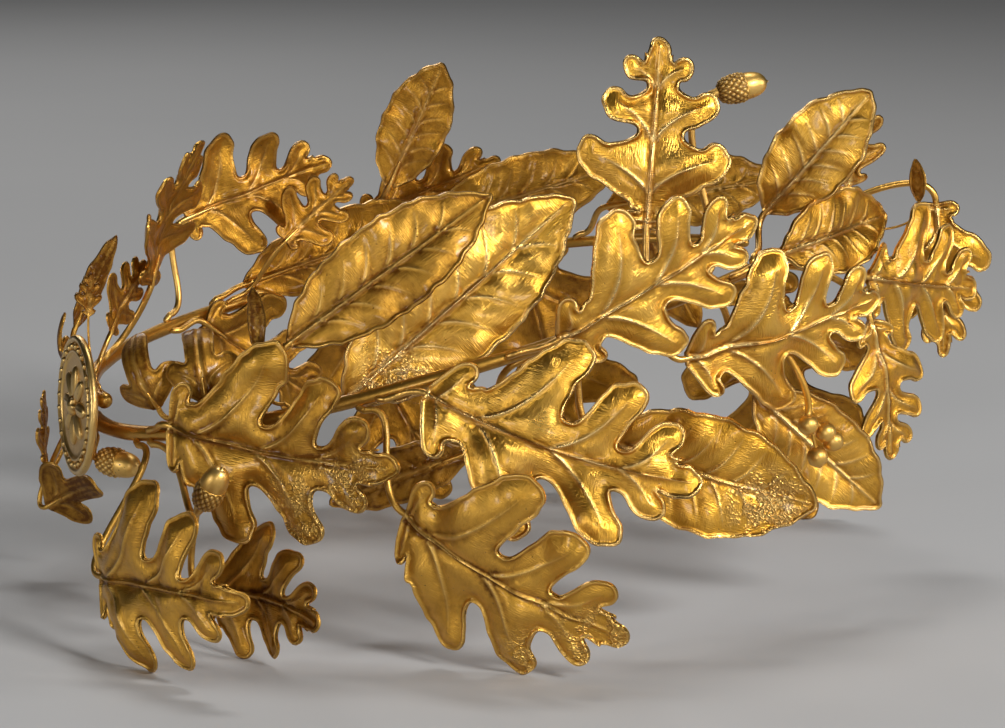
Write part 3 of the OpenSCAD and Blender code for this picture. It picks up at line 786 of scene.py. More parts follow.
@dataclass(frozen=True)
class LeafPattern:
    """A leaf's outline and veins at its own size."""

    kind: Pattern
    length: float
    width: float
    seed: int
    foot_half: float = 3.0
    calm_reach: float = 6.0
    lively_length: float = 45.0
    first_oval_vein: float = 10.0
    oval_vein_span: float = 74.0
    lower_vein_shift: float = 2.5
    oval_vein_lead: float = 17.0
    oval_vein_reach: float = 0.86
    oval_vein_strength: float = 0.55
    lobe_vein_back: float = 0.85
    long_lobe: float = 25.0
    vein_handles: tuple[tuple[float, float], ...] = ((0.4, 0.12), (0.74, 0.48))
    vein_pieces: int = 18
    rim_share: float = 0.93
    rim_clear: float = 0.17
    vein_clear: float = 0.24
    vein_clear_growth: float = 0.15
    vein_inset: float = 0.7
    lattice_pitch: float = 1.35
    lattice_row: float = 0.87
    lattice_inset: float = 1.5
    lattice_clear: float = 0.72
    ripple_out: float = 0.26
    ripple_count: tuple[float, float] = (4.2, 5.4)
    vein_recess: float = 2.4
    rim_recess: float = 2.0
    beside_recess: float = 0.3
    ridge_shine: float = 2.0
    lip_shine: float = 0.6
    pillow_shine: float = 0.2
    patch_reach: float = 1.4
    foot_points: int = 6

    @property
    def is_oval(self) -> bool:
        """Tell whether the leaf has no lobes."""
        return self.kind in OVAL_WIDTHS

    def scaled(self, corners: list | np.ndarray) -> np.ndarray:
        """Turn percent of the blade's length into millimetres."""
        return np.array(corners, float) * [self.length / 100, self.length * self.width / 100]

    def outline(self, spacing: float) -> np.ndarray:
        """Draw the edge from the foot round the tip and back to the foot.

        Args:
            spacing: Distance between the edge's points.

        Returns:
            Points of the edge, which closes with a straight line across the foot.
        """
        if self.is_oval:
            rows = OVAL_WIDTHS[self.kind]
            upper = [(a, u) for a, u, _ in rows]
            lower = [(a, -w) for a, _, w in reversed(rows)]
            curve = rounded(self.scaled(upper + [(100, 0)] + lower))
        else:
            upper_rows, lower_rows = LOBES_UPPER[self.kind], LOBES_LOWER[self.kind]
            tip = CURLED_TIP if len(upper_rows) == 1 else OAK_TIP
            lower = [c * [1, -1] for c in lobed_side(lower_rows)][::-1]
            corners = [np.array([0, self.foot_half])] + lobed_side(upper_rows) + lobe_cap(tip)
            curve = rounded(self.scaled(corners + lower + [np.array([0, -self.foot_half])]))
        curve = resample(curve, spacing)
        return self.uneven_edge(curve, spacing)

    def uneven_edge(self, curve: np.ndarray, spacing: float) -> np.ndarray:
        """Give a cut edge its small scallops.

        Args:
            curve: Points of the smooth edge.
            spacing: Distance between them.

        Returns:
            The scalloped edge, unmoved at the foot.
        """
        rng = np.random.default_rng(self.seed)
        walked = np.arange(len(curve)) * spacing
        shift = np.zeros(len(curve))
        for wavelength, depth in EDGE_WAVES:
            wavelength *= rng.uniform(0.9, 1.15)
            shift += depth * np.sin(FULL_TURN * walked / wavelength + rng.uniform(0, 6.28))
        ends = np.minimum(walked, walked[-1] - walked)
        calm = np.clip(ends / self.calm_reach, 0, 1) * min(1.0, self.length / self.lively_length)
        if not self.is_oval:
            share = np.abs(curve) / [self.length, self.length * self.width]
            on_lobe = (share[:, 1] - 0.14) / 0.16
            at_tip = (share[:, 0] - 0.9) / 0.06
            calm *= np.clip(np.maximum(on_lobe, at_tip), 0.2, 1)
        return curve + across(curve) * (shift * calm)[:, None]

    def veins(self) -> list[tuple[np.ndarray, float]]:
        """Lay the midrib and the side veins.

        Returns:
            For each vein its points from the stalk outward, and its strength from 0 to 1.
        """
        found = [(self.scaled([(0, 0), (30, 0), (60, 0), (96, 0)]), 1.0)]
        if self.is_oval:
            pairs = OVAL_VEINS[self.kind]
            rows = np.array(OVAL_WIDTHS[self.kind], float)
            for side, column, shift in ((1, 1, 0), (-1, 2, self.lower_vein_shift)):
                for k in range(pairs):
                    start = self.first_oval_vein + self.oval_vein_span * k / pairs + shift
                    end = start + self.oval_vein_lead - k
                    reach = self.oval_vein_reach * np.interp(end, rows[:, 0], rows[:, column])
                    found.append((self.vein(start, end, side * reach), self.oval_vein_strength))
        else:
            for side, rows in ((1, LOBES_UPPER[self.kind]), (-1, LOBES_LOWER[self.kind])):
                for row in rows:
                    lobe = Lobe(*row)
                    tip = np.array([lobe.along, lobe.out])
                    ahead = unit(tip - np.array([lobe.vein_start, 0]))
                    end = tip - self.lobe_vein_back * lobe.half_width * ahead
                    strength = 0.8 if lobe.out > self.long_lobe else 0.5
                    found.append((self.vein(lobe.vein_start, end[0], side * end[1]), strength))
        return found

    def vein(self, start: float, end: float, out: float) -> np.ndarray:
        """Lay one side vein, which leaves the midrib forward and curves out.

        Args:
            start: Where it leaves the midrib, in percent.
            end: How far along it ends, in percent.
            out: How far out it ends, in percent.

        Returns:
            Its points in millimetres.
        """
        root, tip = np.array([start, 0.0]), np.array([end, out])
        reach = np.array([end - start, out])
        near, bow = (root + np.array(handle) * reach for handle in self.vein_handles)
        return self.scaled(bezier(root, near, bow, tip, self.vein_pieces))

    def flat(self, relief: Relief, patches: tuple[tuple[float, float, float], ...]) -> FlatBlade:
        """Cut the blade and work its relief.

        Args:
            relief: How the sheet is worked.
            patches: Crumpled places: percent along, percent across and radius in percent.

        Returns:
            The flat blade.
        """
        spacing = relief.spacing
        edge = self.outline(spacing * 0.9)
        loop = np.vstack([edge, edge[:1]])
        veins = [(resample(line, relief.vein_step), strength) for line, strength in self.veins()]
        seeds = self.inner_points(edge, loop, veins, relief)
        everything = np.vstack([edge, seeds])
        border = [(k, (k + 1) % len(edge)) for k in range(len(edge))]
        made, _, faces, sources, _, _ = delaunay_2d_cdt(
            [Vector(p) for p in everything], border, [], 1, SAME_POINT, True
        )
        points = np.array([tuple(p) for p in made])
        place = {source: k for k, row in enumerate(sources) for source in row}
        rim = np.array([place[k] for k in range(len(edge))])
        triangles = np.array([list(face) for face in faces])
        middles = points[triangles].mean(1)
        triangles = triangles[self.is_inside(middles, loop)]
        rise, lip, marks = self.worked(points, loop, veins, relief, patches)
        return FlatBlade(points, triangles, rim, rise, lip, marks)

    def inner_points(
        self, edge: np.ndarray, loop: np.ndarray, veins: list[tuple[np.ndarray, float]], relief: Relief
    ) -> np.ndarray:
        """Spread points over the blade, close together along the edge and the veins.

        Args:
            edge: Points of the edge.
            loop: The edge, closed.
            veins: The veins and their strengths.
            relief: How the sheet is worked.

        Returns:
            The inner points.
        """
        inward = -across_loop(edge)
        kept = edge
        for depth in relief.rim_steps:
            row = edge + inward * depth
            gap, _ = nearest_on_line(row, loop)
            row = row[gap > self.rim_share * depth]
            kept = self.spread(kept, row, self.rim_clear)
        for line, _ in veins:
            side = across(line)
            for offset in relief.vein_sides:
                clear = self.vein_clear + self.vein_clear_growth * abs(offset)
                kept = self.spread(kept, self.inside(line + offset * side, loop, self.vein_inset), clear)
        low, high = edge.min(0), edge.max(0)
        pitch = relief.spacing * self.lattice_pitch
        columns = np.arange(low[0], high[0], pitch)
        rows = np.arange(low[1], high[1], pitch * self.lattice_row)
        xs, ys = np.meshgrid(columns, rows)
        xs[1::2] += pitch / 2
        lattice = self.inside(np.stack([xs.ravel(), ys.ravel()], 1), loop, self.lattice_inset)
        kept = self.spread(kept, lattice, self.lattice_clear * relief.spacing)
        return kept[len(edge):]

    @staticmethod
    def spread(kept: np.ndarray, new: np.ndarray, clear: float) -> np.ndarray:
        """Add the points that are clear of those already kept, and of each other."""
        if len(new) == 0:
            return kept
        gap = np.linalg.norm(new[:, None] - kept[None], axis=2).min(1)
        new = new[gap > clear]
        among = np.linalg.norm(new[:, None] - new[None], axis=2)
        later = np.tril(among < clear, -1).any(1)
        return np.vstack([kept, new[~later]])

    @staticmethod
    def is_inside(points: np.ndarray, loop: np.ndarray) -> np.ndarray:
        """Tell which points are inside a closed loop."""
        a, b = loop[:-1], loop[1:]
        x, y = points[:, :1], points[:, 1:]
        crossing = (a[:, 1] > y) != (b[:, 1] > y)
        rise = b[:, 1] - a[:, 1]
        rise = np.where(np.abs(rise) < NEARLY_NOTHING, NEARLY_NOTHING, rise)
        left = x < (b[:, 0] - a[:, 0]) * (y - a[:, 1]) / rise + a[:, 0]
        return (crossing & left).sum(1) % 2 == 1

    @classmethod
    def inside(cls, points: np.ndarray, loop: np.ndarray, depth: float) -> np.ndarray:
        """Keep the points that are inside a closed loop by at least a depth."""
        points = points[cls.is_inside(points, loop)]
        if len(points) == 0:
            return points
        gap, _ = nearest_on_line(points, loop)
        return points[gap > depth]

    def worked(
        self,
        points: np.ndarray,
        loop: np.ndarray,
        veins: list[tuple[np.ndarray, float]],
        relief: Relief,
        patches: tuple[tuple[float, float, float], ...],
    ) -> tuple[np.ndarray, np.ndarray, np.ndarray]:
        """Find the relief at every point of the blade.

        Args:
            points: The blade's flat points.
            loop: The edge, closed.
            veins: The veins and their strengths.
            relief: How the sheet is worked.
            patches: Crumpled places.

        Returns:
            The sheet's rise, the extra height of the lip, and the marks at each point.
        """
        scale = min(1.0, self.length / relief.full_length)
        edge_gap, edge_place = nearest_on_line(points, loop)
        vein_gap = np.full(len(points), 1e3)
        ridge = np.zeros(len(points))
        groove = np.zeros(len(points))
        for line, strength in veins:
            gap, along = nearest_on_line(points, line)
            vein_gap = np.minimum(vein_gap, gap + 2.5 * (1 - strength))
            is_midrib = strength == 1.0
            full = relief.midrib_rise if is_midrib else relief.vein_rise
            taper = 1 - 0.7 * along**2 if is_midrib else np.clip(along * 6, 0.35, 1) * (1 - along**3)
            height = full * taper * strength**0.5
            wide = relief.vein_width * (1.9 - 1.0 * along if is_midrib else 1.15 - 0.4 * along)
            ridge = np.maximum(ridge, height * hump(gap, 0, wide))
            groove = np.maximum(groove, height * relief.groove * hump(gap, 2.2 * wide, 0.8 * wide))
        notch = self.notch_share(loop, edge_place)
        pillow = 1 - hump(vein_gap, 0, relief.pillow_from_vein)
        pillow = pillow * (1 - hump(edge_gap, 0, relief.pillow_from_edge))
        dome = relief.dome * (1 - hump(edge_gap, 0, relief.dome_reach))
        lip = relief.lip_rise * hump(edge_gap, relief.lip_inward, relief.lip_width)
        hollow = 0.25 * hump(edge_gap, relief.hollow_inward, relief.hollow_width)
        roll = notch * relief.roll_rise * (hump(edge_gap, relief.roll_inward, relief.roll_width) - hollow)
        rim_groove = relief.rim_groove * hump(edge_gap, relief.rim_groove_inward, relief.rim_groove_width)
        uneven = relief.unevenness * swell(points, self.seed, relief.uneven_length)
        uneven = uneven + relief.fine_unevenness * swell(points, self.seed + 1, relief.fine_length)
        sway = relief.sway * swell(points, self.seed + 3, relief.sway_length)
        sway = sway * np.clip(points[:, 0] / relief.sway_from_stalk, 0, 1)
        half = np.abs(points[:, 1]) / (self.length * self.width * self.ripple_out)
        rng = np.random.default_rng(self.seed + 2)
        turns = points[:, 0] / self.length * 2 * math.pi * rng.uniform(*self.ripple_count)
        waves = np.sin(turns + np.where(points[:, 1] > 0, rng.uniform(0, 6), rng.uniform(0, 6)))
        rise = scale * (
            ridge - groove + relief.pillow * pillow + dome + roll - rim_groove + sway
            + uneven * np.clip(edge_gap, 0.3, 1)
            + relief.ripple * waves * np.clip(half, 0, 1.2) ** 2
        )
        darkening = groove / relief.vein_rise * self.vein_recess + rim_groove * self.rim_recess
        darkening = darkening + self.beside_recess * hump(vein_gap, 0.9, 0.45) - ridge * self.ridge_shine
        darkening = np.clip(darkening, 0, 1)
        worn = ridge * self.ridge_shine + lip / relief.lip_rise * self.lip_shine
        worn = np.clip(worn + self.pillow_shine * pillow, 0, 1)
        crumpled = np.zeros(len(points))
        for along, across, radius in patches:
            middle = np.array([along, across]) / 100 * self.length
            gap = np.linalg.norm(points - middle, axis=1) / (radius / 100 * self.length)
            crumpled = np.maximum(crumpled, np.clip(self.patch_reach - gap, 0, 1))
        return rise, lip * scale, np.stack([darkening, worn, crumpled], 1)

    def notch_share(self, loop: np.ndarray, place: np.ndarray) -> np.ndarray:
        """Tell how far each place of the edge is inside a notch.

        Args:
            loop: The edge, closed.
            place: Places along the edge, from 0 to 1.

        Returns:
            One in a notch and nothing on a lobe, for each place.
        """
        if self.is_oval:
            return np.zeros(len(place))
        steps = np.diff(loop, axis=0)
        angle = np.unwrap(np.arctan2(steps[:, 1], steps[:, 0]))
        turn = np.gradient(angle) / np.linalg.norm(steps, axis=1)
        turn = self.smoothed(turn, 7)
        share = np.clip(turn * 4.5 - 0.3, 0, 1)
        share[: self.foot_points] = 0
        share[-self.foot_points :] = 0
        share = self.smoothed(share, 5)
        return np.interp(place, np.linspace(0, 1, len(share)), share)

    @staticmethod
    def smoothed(values: np.ndarray, reach: int) -> np.ndarray:
        """Smooth a row of values over a number of neighbours."""
        window = np.hanning(reach)
        return np.convolve(values, window / window.sum(), "same")


# Leaves


@dataclass(frozen=True)
class LeafPlace:
    """Where a leaf sits and how it is bent, as in the solids."""

    name: str
    kind: Pattern
    side: Side
    station: float
    out: float
    up: float
    heading: float
    pitch: float
    roll: float
    length: float
    width: float
    sweep: float
    bend: float
    cup: float
    slot: Slot


OAK_RELIEF = Relief()
OVAL_RELIEF = Relief(
    pillow=0.7, dome=0.4, vein_rise=0.5, roll_rise=0.0, ripple=0.65, unevenness=0.15, sway=0.7
)
BUD_RELIEF = Relief(spacing=0.7, pillow=0.2, dome=0.0, ripple=0.0, sway=0.0, roll_rise=0.4, midrib_rise=0.3)
CURLED_RELIEF = Relief(spacing=0.75, pillow=0.5, dome=0.9, roll_rise=0.9, ripple=0.0, sway=0.4)

# Crumpled, granular places, which are also painted pale as glints: percent of the blade's length along and
# across, and radius
PATCHES = {
    "left_oak_3": ((62, -24, 17), (82, -10, 14), (55, -30, 12)),
    "left_oak_4": ((72, -26, 14), (90, -6, 14)),
    "left_oval_4": ((80, -6, 16),),
    "left_oval_2": ((15, -8, 11),),
}

# Painted shade: share of brown film laid over the whole of each listed leaf that lies in shade, on top of
# what lies in the recesses
PAINTED_SHADE_FILM = {
    "left_oak_2": 0.08,
    "left_oak_3": 0.16,
    "left_oval_1": 0.4,
    "left_oval_3": 0.5,
    "left_curled_1": 0.3,
    "left_curled_2": 0.3,
    "left_bud_1": 0.25,
}


# How recessed, how worn bright and how crumpled a stalk and a branch are
STALK_MARKS = (0.15, 0.35, 0.0)
BRANCH_MARKS = (0.2, 0.3, 0.0)


@dataclass
class Leaf:
    """One leaf with its stalk."""

    place: LeafPlace
    ring: HeadRing
    stalk: Stalk
    sheet: float = 0.7
    fold: float = 12.0
    # Painted shade: least share of brown film on every leaf's back
    back_painted_shade: float = 0.6
    table_clearance: float = 0.06
    soft_middle: float = 0.7
    lip_out: float = 0.24
    lip_share: float = 0.4
    back_shine: float = 0.5
    rib_length: float = 0.2
    rib_rise: tuple[float, float] = (0.1, 0.05)
    rib_points: int = 8
    rib_widths: tuple[float, float] = (0.3, 0.92)
    full_stalk_length: float = 34.0
    stalk_walk: float = 30.0
    seed_divisor: float = 100.0

    def relief(self) -> Relief:
        """Choose how this leaf's sheet is worked."""
        if "bud" in self.place.name:
            return BUD_RELIEF
        if self.place.kind == CURLED:
            return CURLED_RELIEF
        return OVAL_RELIEF if self.place.kind in OVAL_WIDTHS else OAK_RELIEF

    def bent(self, flat: np.ndarray, rise: np.ndarray) -> np.ndarray:
        """Bend flat points to the leaf's shape.

        Args:
            flat: Flat points in millimetres.
            rise: How far each is above the sheet's middle.

        Returns:
            Rows of ahead, across and face distances in millimetres.
        """
        place = self.place
        length = place.length
        along = flat[:, 0] / length
        over = np.abs(flat[:, 1]) / length
        rise = rise / length
        soft = self.soft_middle / length
        calm = over / np.sqrt(over**2 + soft**2)
        slope = np.radians(self.fold - place.cup * over) * calm
        section_x, _ = arc_to(self.fold, -place.cup, over)
        _, section_y = arc_to(self.fold, -place.cup, np.sqrt(over**2 + soft**2) - soft)
        section_x = section_x - rise * np.sin(slope)
        section_y = section_y + rise * np.cos(slope)
        sideways = np.sign(flat[:, 1]) * section_x
        middle_x, middle_y = arc_to(-place.sweep / 2, place.sweep, along)
        turn = np.radians(place.sweep * (along - 0.5))
        ahead = middle_x - sideways * np.sin(turn)
        arch_x, arch_y = arc_to(place.bend / 2, -place.bend, ahead)
        lean = np.radians(place.bend / 2 - place.bend * ahead)
        return length * np.stack(
            [
                arch_x - section_y * np.sin(lean),
                middle_y + sideways * np.cos(turn),
                arch_y + section_y * np.cos(lean),
            ],
            1,
        )

    def blade_shell(self, blade: FlatBlade) -> tuple[np.ndarray, list, np.ndarray, np.ndarray]:
        """Make the closed sheet of the blade, in the leaf's own directions.

        Args:
            blade: The flat blade.

        Returns:
            Points, faces, marks and blade coordinates.
        """
        count = len(blade.points)
        rim = blade.rim
        half = self.sheet / 2
        edge = blade.points[rim]
        outer = edge + across_loop(edge) * self.lip_out
        front = self.bent(blade.points, blade.rise + blade.lip + half)
        back = self.bent(blade.points, blade.rise - half)
        middle = self.bent(outer, blade.rise[rim] + blade.lip[rim] * self.lip_share)
        faces = [tuple(t) for t in blade.triangles]
        faces += [(t[0] + count, t[2] + count, t[1] + count) for t in blade.triangles.tolist()]
        ring = 2 * count + np.arange(len(rim))
        for k in range(len(rim)):
            m = (k + 1) % len(rim)
            faces.append((int(rim[m]), int(rim[k]), int(ring[k]), int(ring[m])))
            faces.append((int(ring[m]), int(ring[k]), int(rim[k]) + count, int(rim[m]) + count))
        seed = seed_of(self.place.name) / self.seed_divisor
        blade_map = np.column_stack([blade.points, np.full(count, seed)])
        outer_map = np.column_stack([outer, np.full(len(rim), seed)])
        # Painted shade: extra brown film all over the listed leaves that lie in shade, and a set share of
        # brown film on every back
        painted_shade = PAINTED_SHADE_FILM.get(self.place.name, 0.0)
        front_marks = blade.marks + [painted_shade, 0.0, 0.0]
        back_marks = blade.marks * [1.0, self.back_shine, 0.0] + [max(self.back_painted_shade, painted_shade), 0.0, 0.0]
        marks = np.clip(np.vstack([front_marks, back_marks, front_marks[rim]]), 0, 1)
        points = np.vstack([front, back, middle])
        return points, faces, marks, np.vstack([blade_map, blade_map, outer_map])

    def build(self) -> bpy.types.Object:
        """Make the leaf.

        Returns:
            The leaf's object.
        """
        place = self.place
        relief = self.relief()
        pattern = LeafPattern(place.kind, place.length, place.width, seed_of(place.name))
        blade = pattern.flat(relief, PATCHES.get(place.name, ()))
        axes = self.ring.axes(place.side, place.station, place.heading, place.pitch, place.roll)
        local, faces, marks, blade_map = self.blade_shell(blade)
        up = place.up
        if up == ON_TABLE:
            low = self.ring.beside(place.side, place.station, place.out, 0) + local @ axes
            up = self.table_clearance - low[:, 2].min()
        foot = self.ring.beside(place.side, place.station, place.out, up)
        if place.side == RIGHT:
            faces = [face[::-1] for face in faces]
        parts = MeshParts()
        parts.add(foot + local @ axes, faces, marks, blade_map)
        self.add_stalk(parts, foot, up, axes)
        return parts.build(f"leaf_{place.name}")

    def add_stalk(self, parts: MeshParts, foot: np.ndarray, up: float, axes: np.ndarray) -> None:
        """Add the stalk, which thins out as a rib under the blade.

        Args:
            parts: The leaf's shells.
            foot: Where the blade begins.
            up: Millimetres from the branch upward to the foot.
            axes: The leaf's ahead, across and face directions.
        """
        place = self.place
        count = self.rib_points
        reach = np.linspace(self.rib_length, 0.0, count + 1)[:, None] * [place.length, 0]
        buried = self.bent(reach, np.linspace(*self.rib_rise, count + 1)) @ axes + foot
        path = self.stalk.path(place.side, place.station, place.out, up, place.heading, axes[0])
        path = np.vstack([buried[:-1], path])
        thin = min(1.0, place.length / self.full_stalk_length)
        rib = np.linspace(*self.rib_widths, count) * self.stalk.radius
        radii = np.concatenate([rib, np.full(len(path) - count, self.stalk.radius)]) * thin
        points, faces = tube(path, radii, self.stalk.sides, axes[1])
        walked = np.linspace(0, self.stalk_walk, len(points))
        seeds = np.full(len(points), seed_of(place.name) / self.seed_divisor)
        stalk_map = np.column_stack([walked, walked * 0, seeds])
        parts.add(points, faces, np.tile(STALK_MARKS, (len(points), 1)), stalk_map)


# Branches, fruit and medallion


@dataclass
class Branch:
    """One gilt rod that runs back from the medallion."""

    side: Side
    ring: HeadRing
    rings: int = 150
    sides: int = 18
    first_inset: float = 1.2
    last_inset: float = 0.6
    seed: int = 11
    unevenness: float = 0.035
    wave_rates: tuple[float, float] = (0.41, 0.17)
    walk: float = 280.0
    girth: float = 12.0
    map_seed: float = 3.0

    def build(self) -> bpy.types.Object:
        """Make the branch.

        Returns:
            The branch's object.
        """
        ring = self.ring
        first = ring.first_station + self.first_inset
        last = ring.last_station - self.last_inset
        stations = np.linspace(first, last, self.rings)
        path = np.array([ring.point(self.side, s) for s in stations])
        rng = np.random.default_rng(self.seed + self.side)
        quick, slow = self.wave_rates
        wave = self.unevenness * np.sin(stations * quick + rng.uniform(0, 6)) * np.sin(stations * slow)
        radii = np.array([ring.radius(s) for s in stations]) * (1 + wave)
        points, faces = tube(path, radii, self.sides, UP)
        parts = MeshParts()
        rows = len(points) // self.sides
        walked = np.repeat(np.linspace(0, self.walk, rows), self.sides)
        around = np.tile(np.linspace(0, self.girth, self.sides), rows)
        blade_map = np.column_stack([walked, around, np.full(len(points), self.map_seed)])
        parts.add(points, faces, np.tile(BRANCH_MARKS, (len(points), 1)), blade_map)
        return parts.build(f"rod_{'left' if self.side == LEFT else 'right'}")


# Smallest radius of a turned shape, in millimetres
AXIS_RADIUS = 0.05

# Rows of radius and height, in parts of the acorn's diameter and length
NUT_PROFILE = (
    (0.05, 0.2),
    (0.4, 0.3),
    (0.475, 0.46),
    (0.485, 0.6),
    (0.45, 0.73),
    (0.36, 0.85),
    (0.2, 0.93),
    (0.09, 0.955),
    (0.05, 0.975),
    (0.01, 1.0),
)
CUP_FOOT = (0.01, 0.0)
CUP_OUTSIDE = ((0.12, 0.0), (0.3, 0.03), (0.43, 0.12), (0.51, 0.27), (0.53, 0.42), (0.5, 0.53))
CUP_INSIDE = ((0.48, 0.545), (0.45, 0.52), (0.3, 0.35), (0.05, 0.3))


@dataclass
class Acorn:
    """A pointed nut in a scaled cup."""

    name: str
    side: Side
    station: float
    out: float
    up: float
    heading: float
    pitch: float
    lead: float
    ring: HeadRing
    diameter: float = 7.4
    length: float = 14.4
    scale_rows: int = 7
    scales_round: int = 14
    scaled_share: float = 0.53
    scale_rise: float = 0.42
    scale_sink: float = 0.14
    nut_sides: int = 40
    cup_sides: int = 112
    buried: float = 2.5
    stalk_swell: tuple[float, ...] = (1.5, 1.45, 1.2, 1.05)

    def nut(self) -> tuple[np.ndarray, list, np.ndarray]:
        """Make the smooth nut.

        Returns:
            Points, faces and marks.
        """
        profile = rounded(np.array(NUT_PROFILE), 5) * [self.diameter, self.length]
        profile[:, 0] = np.maximum(profile[:, 0], AXIS_RADIUS)
        points, faces = turned(profile, self.nut_sides)
        height = points[:, 2] / self.length
        darkening = 0.5 * hump(height, 0.47, 0.05)
        worn = 0.45 + 0.4 * (height > 0.9)
        return points, faces, np.stack([darkening, worn, height * 0], 1)

    def cup(self) -> tuple[np.ndarray, list, np.ndarray]:
        """Make the cup with its overlapping scales.

        Returns:
            Points, faces and marks.
        """
        outer = rounded(np.array(CUP_OUTSIDE), 9)
        profile = np.vstack([[CUP_FOOT], outer, CUP_INSIDE]) * [self.diameter, self.length]
        points, faces = turned(profile, self.cup_sides)
        angle = np.arctan2(points[:, 1], points[:, 0])
        row = points[:, 2] / (self.scaled_share * self.length) * self.scale_rows
        rising = np.cos(self.scales_round * angle + math.pi * row)
        falling = np.cos(self.scales_round * angle - math.pi * row)
        scales = np.sqrt(np.abs((0.5 + 0.5 * rising) * (0.5 + 0.5 * falling)))
        ring = np.repeat(np.arange(len(profile)), self.cup_sides)
        shown = ((ring > 2) & (ring < len(outer))).astype(float)
        width = np.maximum(np.hypot(points[:, 0], points[:, 1]), 0.5)
        grown = 1 + self.scale_rise * scales * shown / width - self.scale_sink * shown / width
        points[:, :2] *= grown[:, None]
        return points, faces, np.stack([shown * (1 - scales), shown * scales, shown * 0], 1)

    def build(self) -> bpy.types.Object:
        """Make the acorn with its stalk.

        Returns:
            The acorn's object.
        """
        axes = self.ring.axes(self.side, self.station, self.heading, self.pitch, 0)
        stalk = Stalk(self.ring, lead=self.lead)
        path = stalk.path(self.side, self.station, self.out, self.up, self.heading, axes[0])
        path = np.vstack([path[0] + axes[0] * self.buried, path])
        turn = pointing(axes[0])
        parts = MeshParts()
        for points, faces, marks in (self.nut(), self.cup()):
            parts.add(path[1] + points @ turn, faces, marks, points)
        radii = np.full(len(path), stalk.radius)
        radii[: len(self.stalk_swell)] *= self.stalk_swell
        points, faces = tube(path, radii, stalk.sides, self.ring.out(self.side, self.station))
        parts.add(points, faces, np.tile(STALK_MARKS, (len(points), 1)))
        return parts.build(f"fruit_{self.name}")


@dataclass
class BerryCluster:
    """Four round berries on short wires."""

    ring: HeadRing
    side: Side = LEFT
    station: float = 122
    out: float = 27
    up: float = -33
    heading: float = 150
    pitch: float = -40
    berries: tuple[tuple[float, float, float], ...] = ((0, 0, -3), (5, 2, -5.5), (3, 1, -12), (7, 3, -8))
    diameter: float = 5.6
    rows: int = 22
    sides: int = 32
    pole: float = 0.02
    nipple: tuple[float, float, float] = (0.1, 0.35, 0.5)
    wire_radius: float = 0.5
    wire_points: int = 6
    wire_sides: int = 8
    lift: float = 0.3

    def build(self) -> bpy.types.Object:
        """Make the cluster.

        Returns:
            The cluster's object.
        """
        stalk = Stalk(self.ring)
        along = self.ring.along(self.side, self.station)
        outward = self.ring.out(self.side, self.station)
        ahead = self.ring.axes(self.side, self.station, self.heading, self.pitch, 0)[0]
        path = stalk.path(self.side, self.station, self.out, self.up, self.heading, ahead)
        parts = MeshParts()
        parts.add(*tube(path, np.full(len(path), stalk.radius), stalk.sides, outward))
        angles = np.linspace(self.pole, math.pi - self.pole, self.rows)
        profile = np.stack([np.sin(angles), -np.cos(angles)], 1) * self.diameter / 2
        profile[-len(self.nipple) :, 1] += self.nipple
        for back, aside, rise in self.berries:
            middle = path[0] + back * along + aside * outward + rise * UP
            line = np.linspace(path[0], middle, self.wire_points)
            parts.add(*tube(line, np.full(self.wire_points, self.wire_radius), self.wire_sides, along))
            points, faces = turned(profile, self.sides)
            height = points[:, 2] / self.diameter
            marks = np.stack([0.5 * (height < -0.35), 0.3 + 0.6 * (height > 0.42), height * 0], 1)
            turn = pointing(middle - path[0] - self.lift * UP)
            parts.add(middle + points @ turn, faces, marks)
        return parts.build("fruit_berry_cluster")


# Rows of radius and height of the medallion's back post, in millimetres
POST_PROFILE = ((0.05, -3.0), (2.6, -3.0), (3.2, -2.7), (3.4, -0.5), (3.4, 0), (0.05, 0.1))


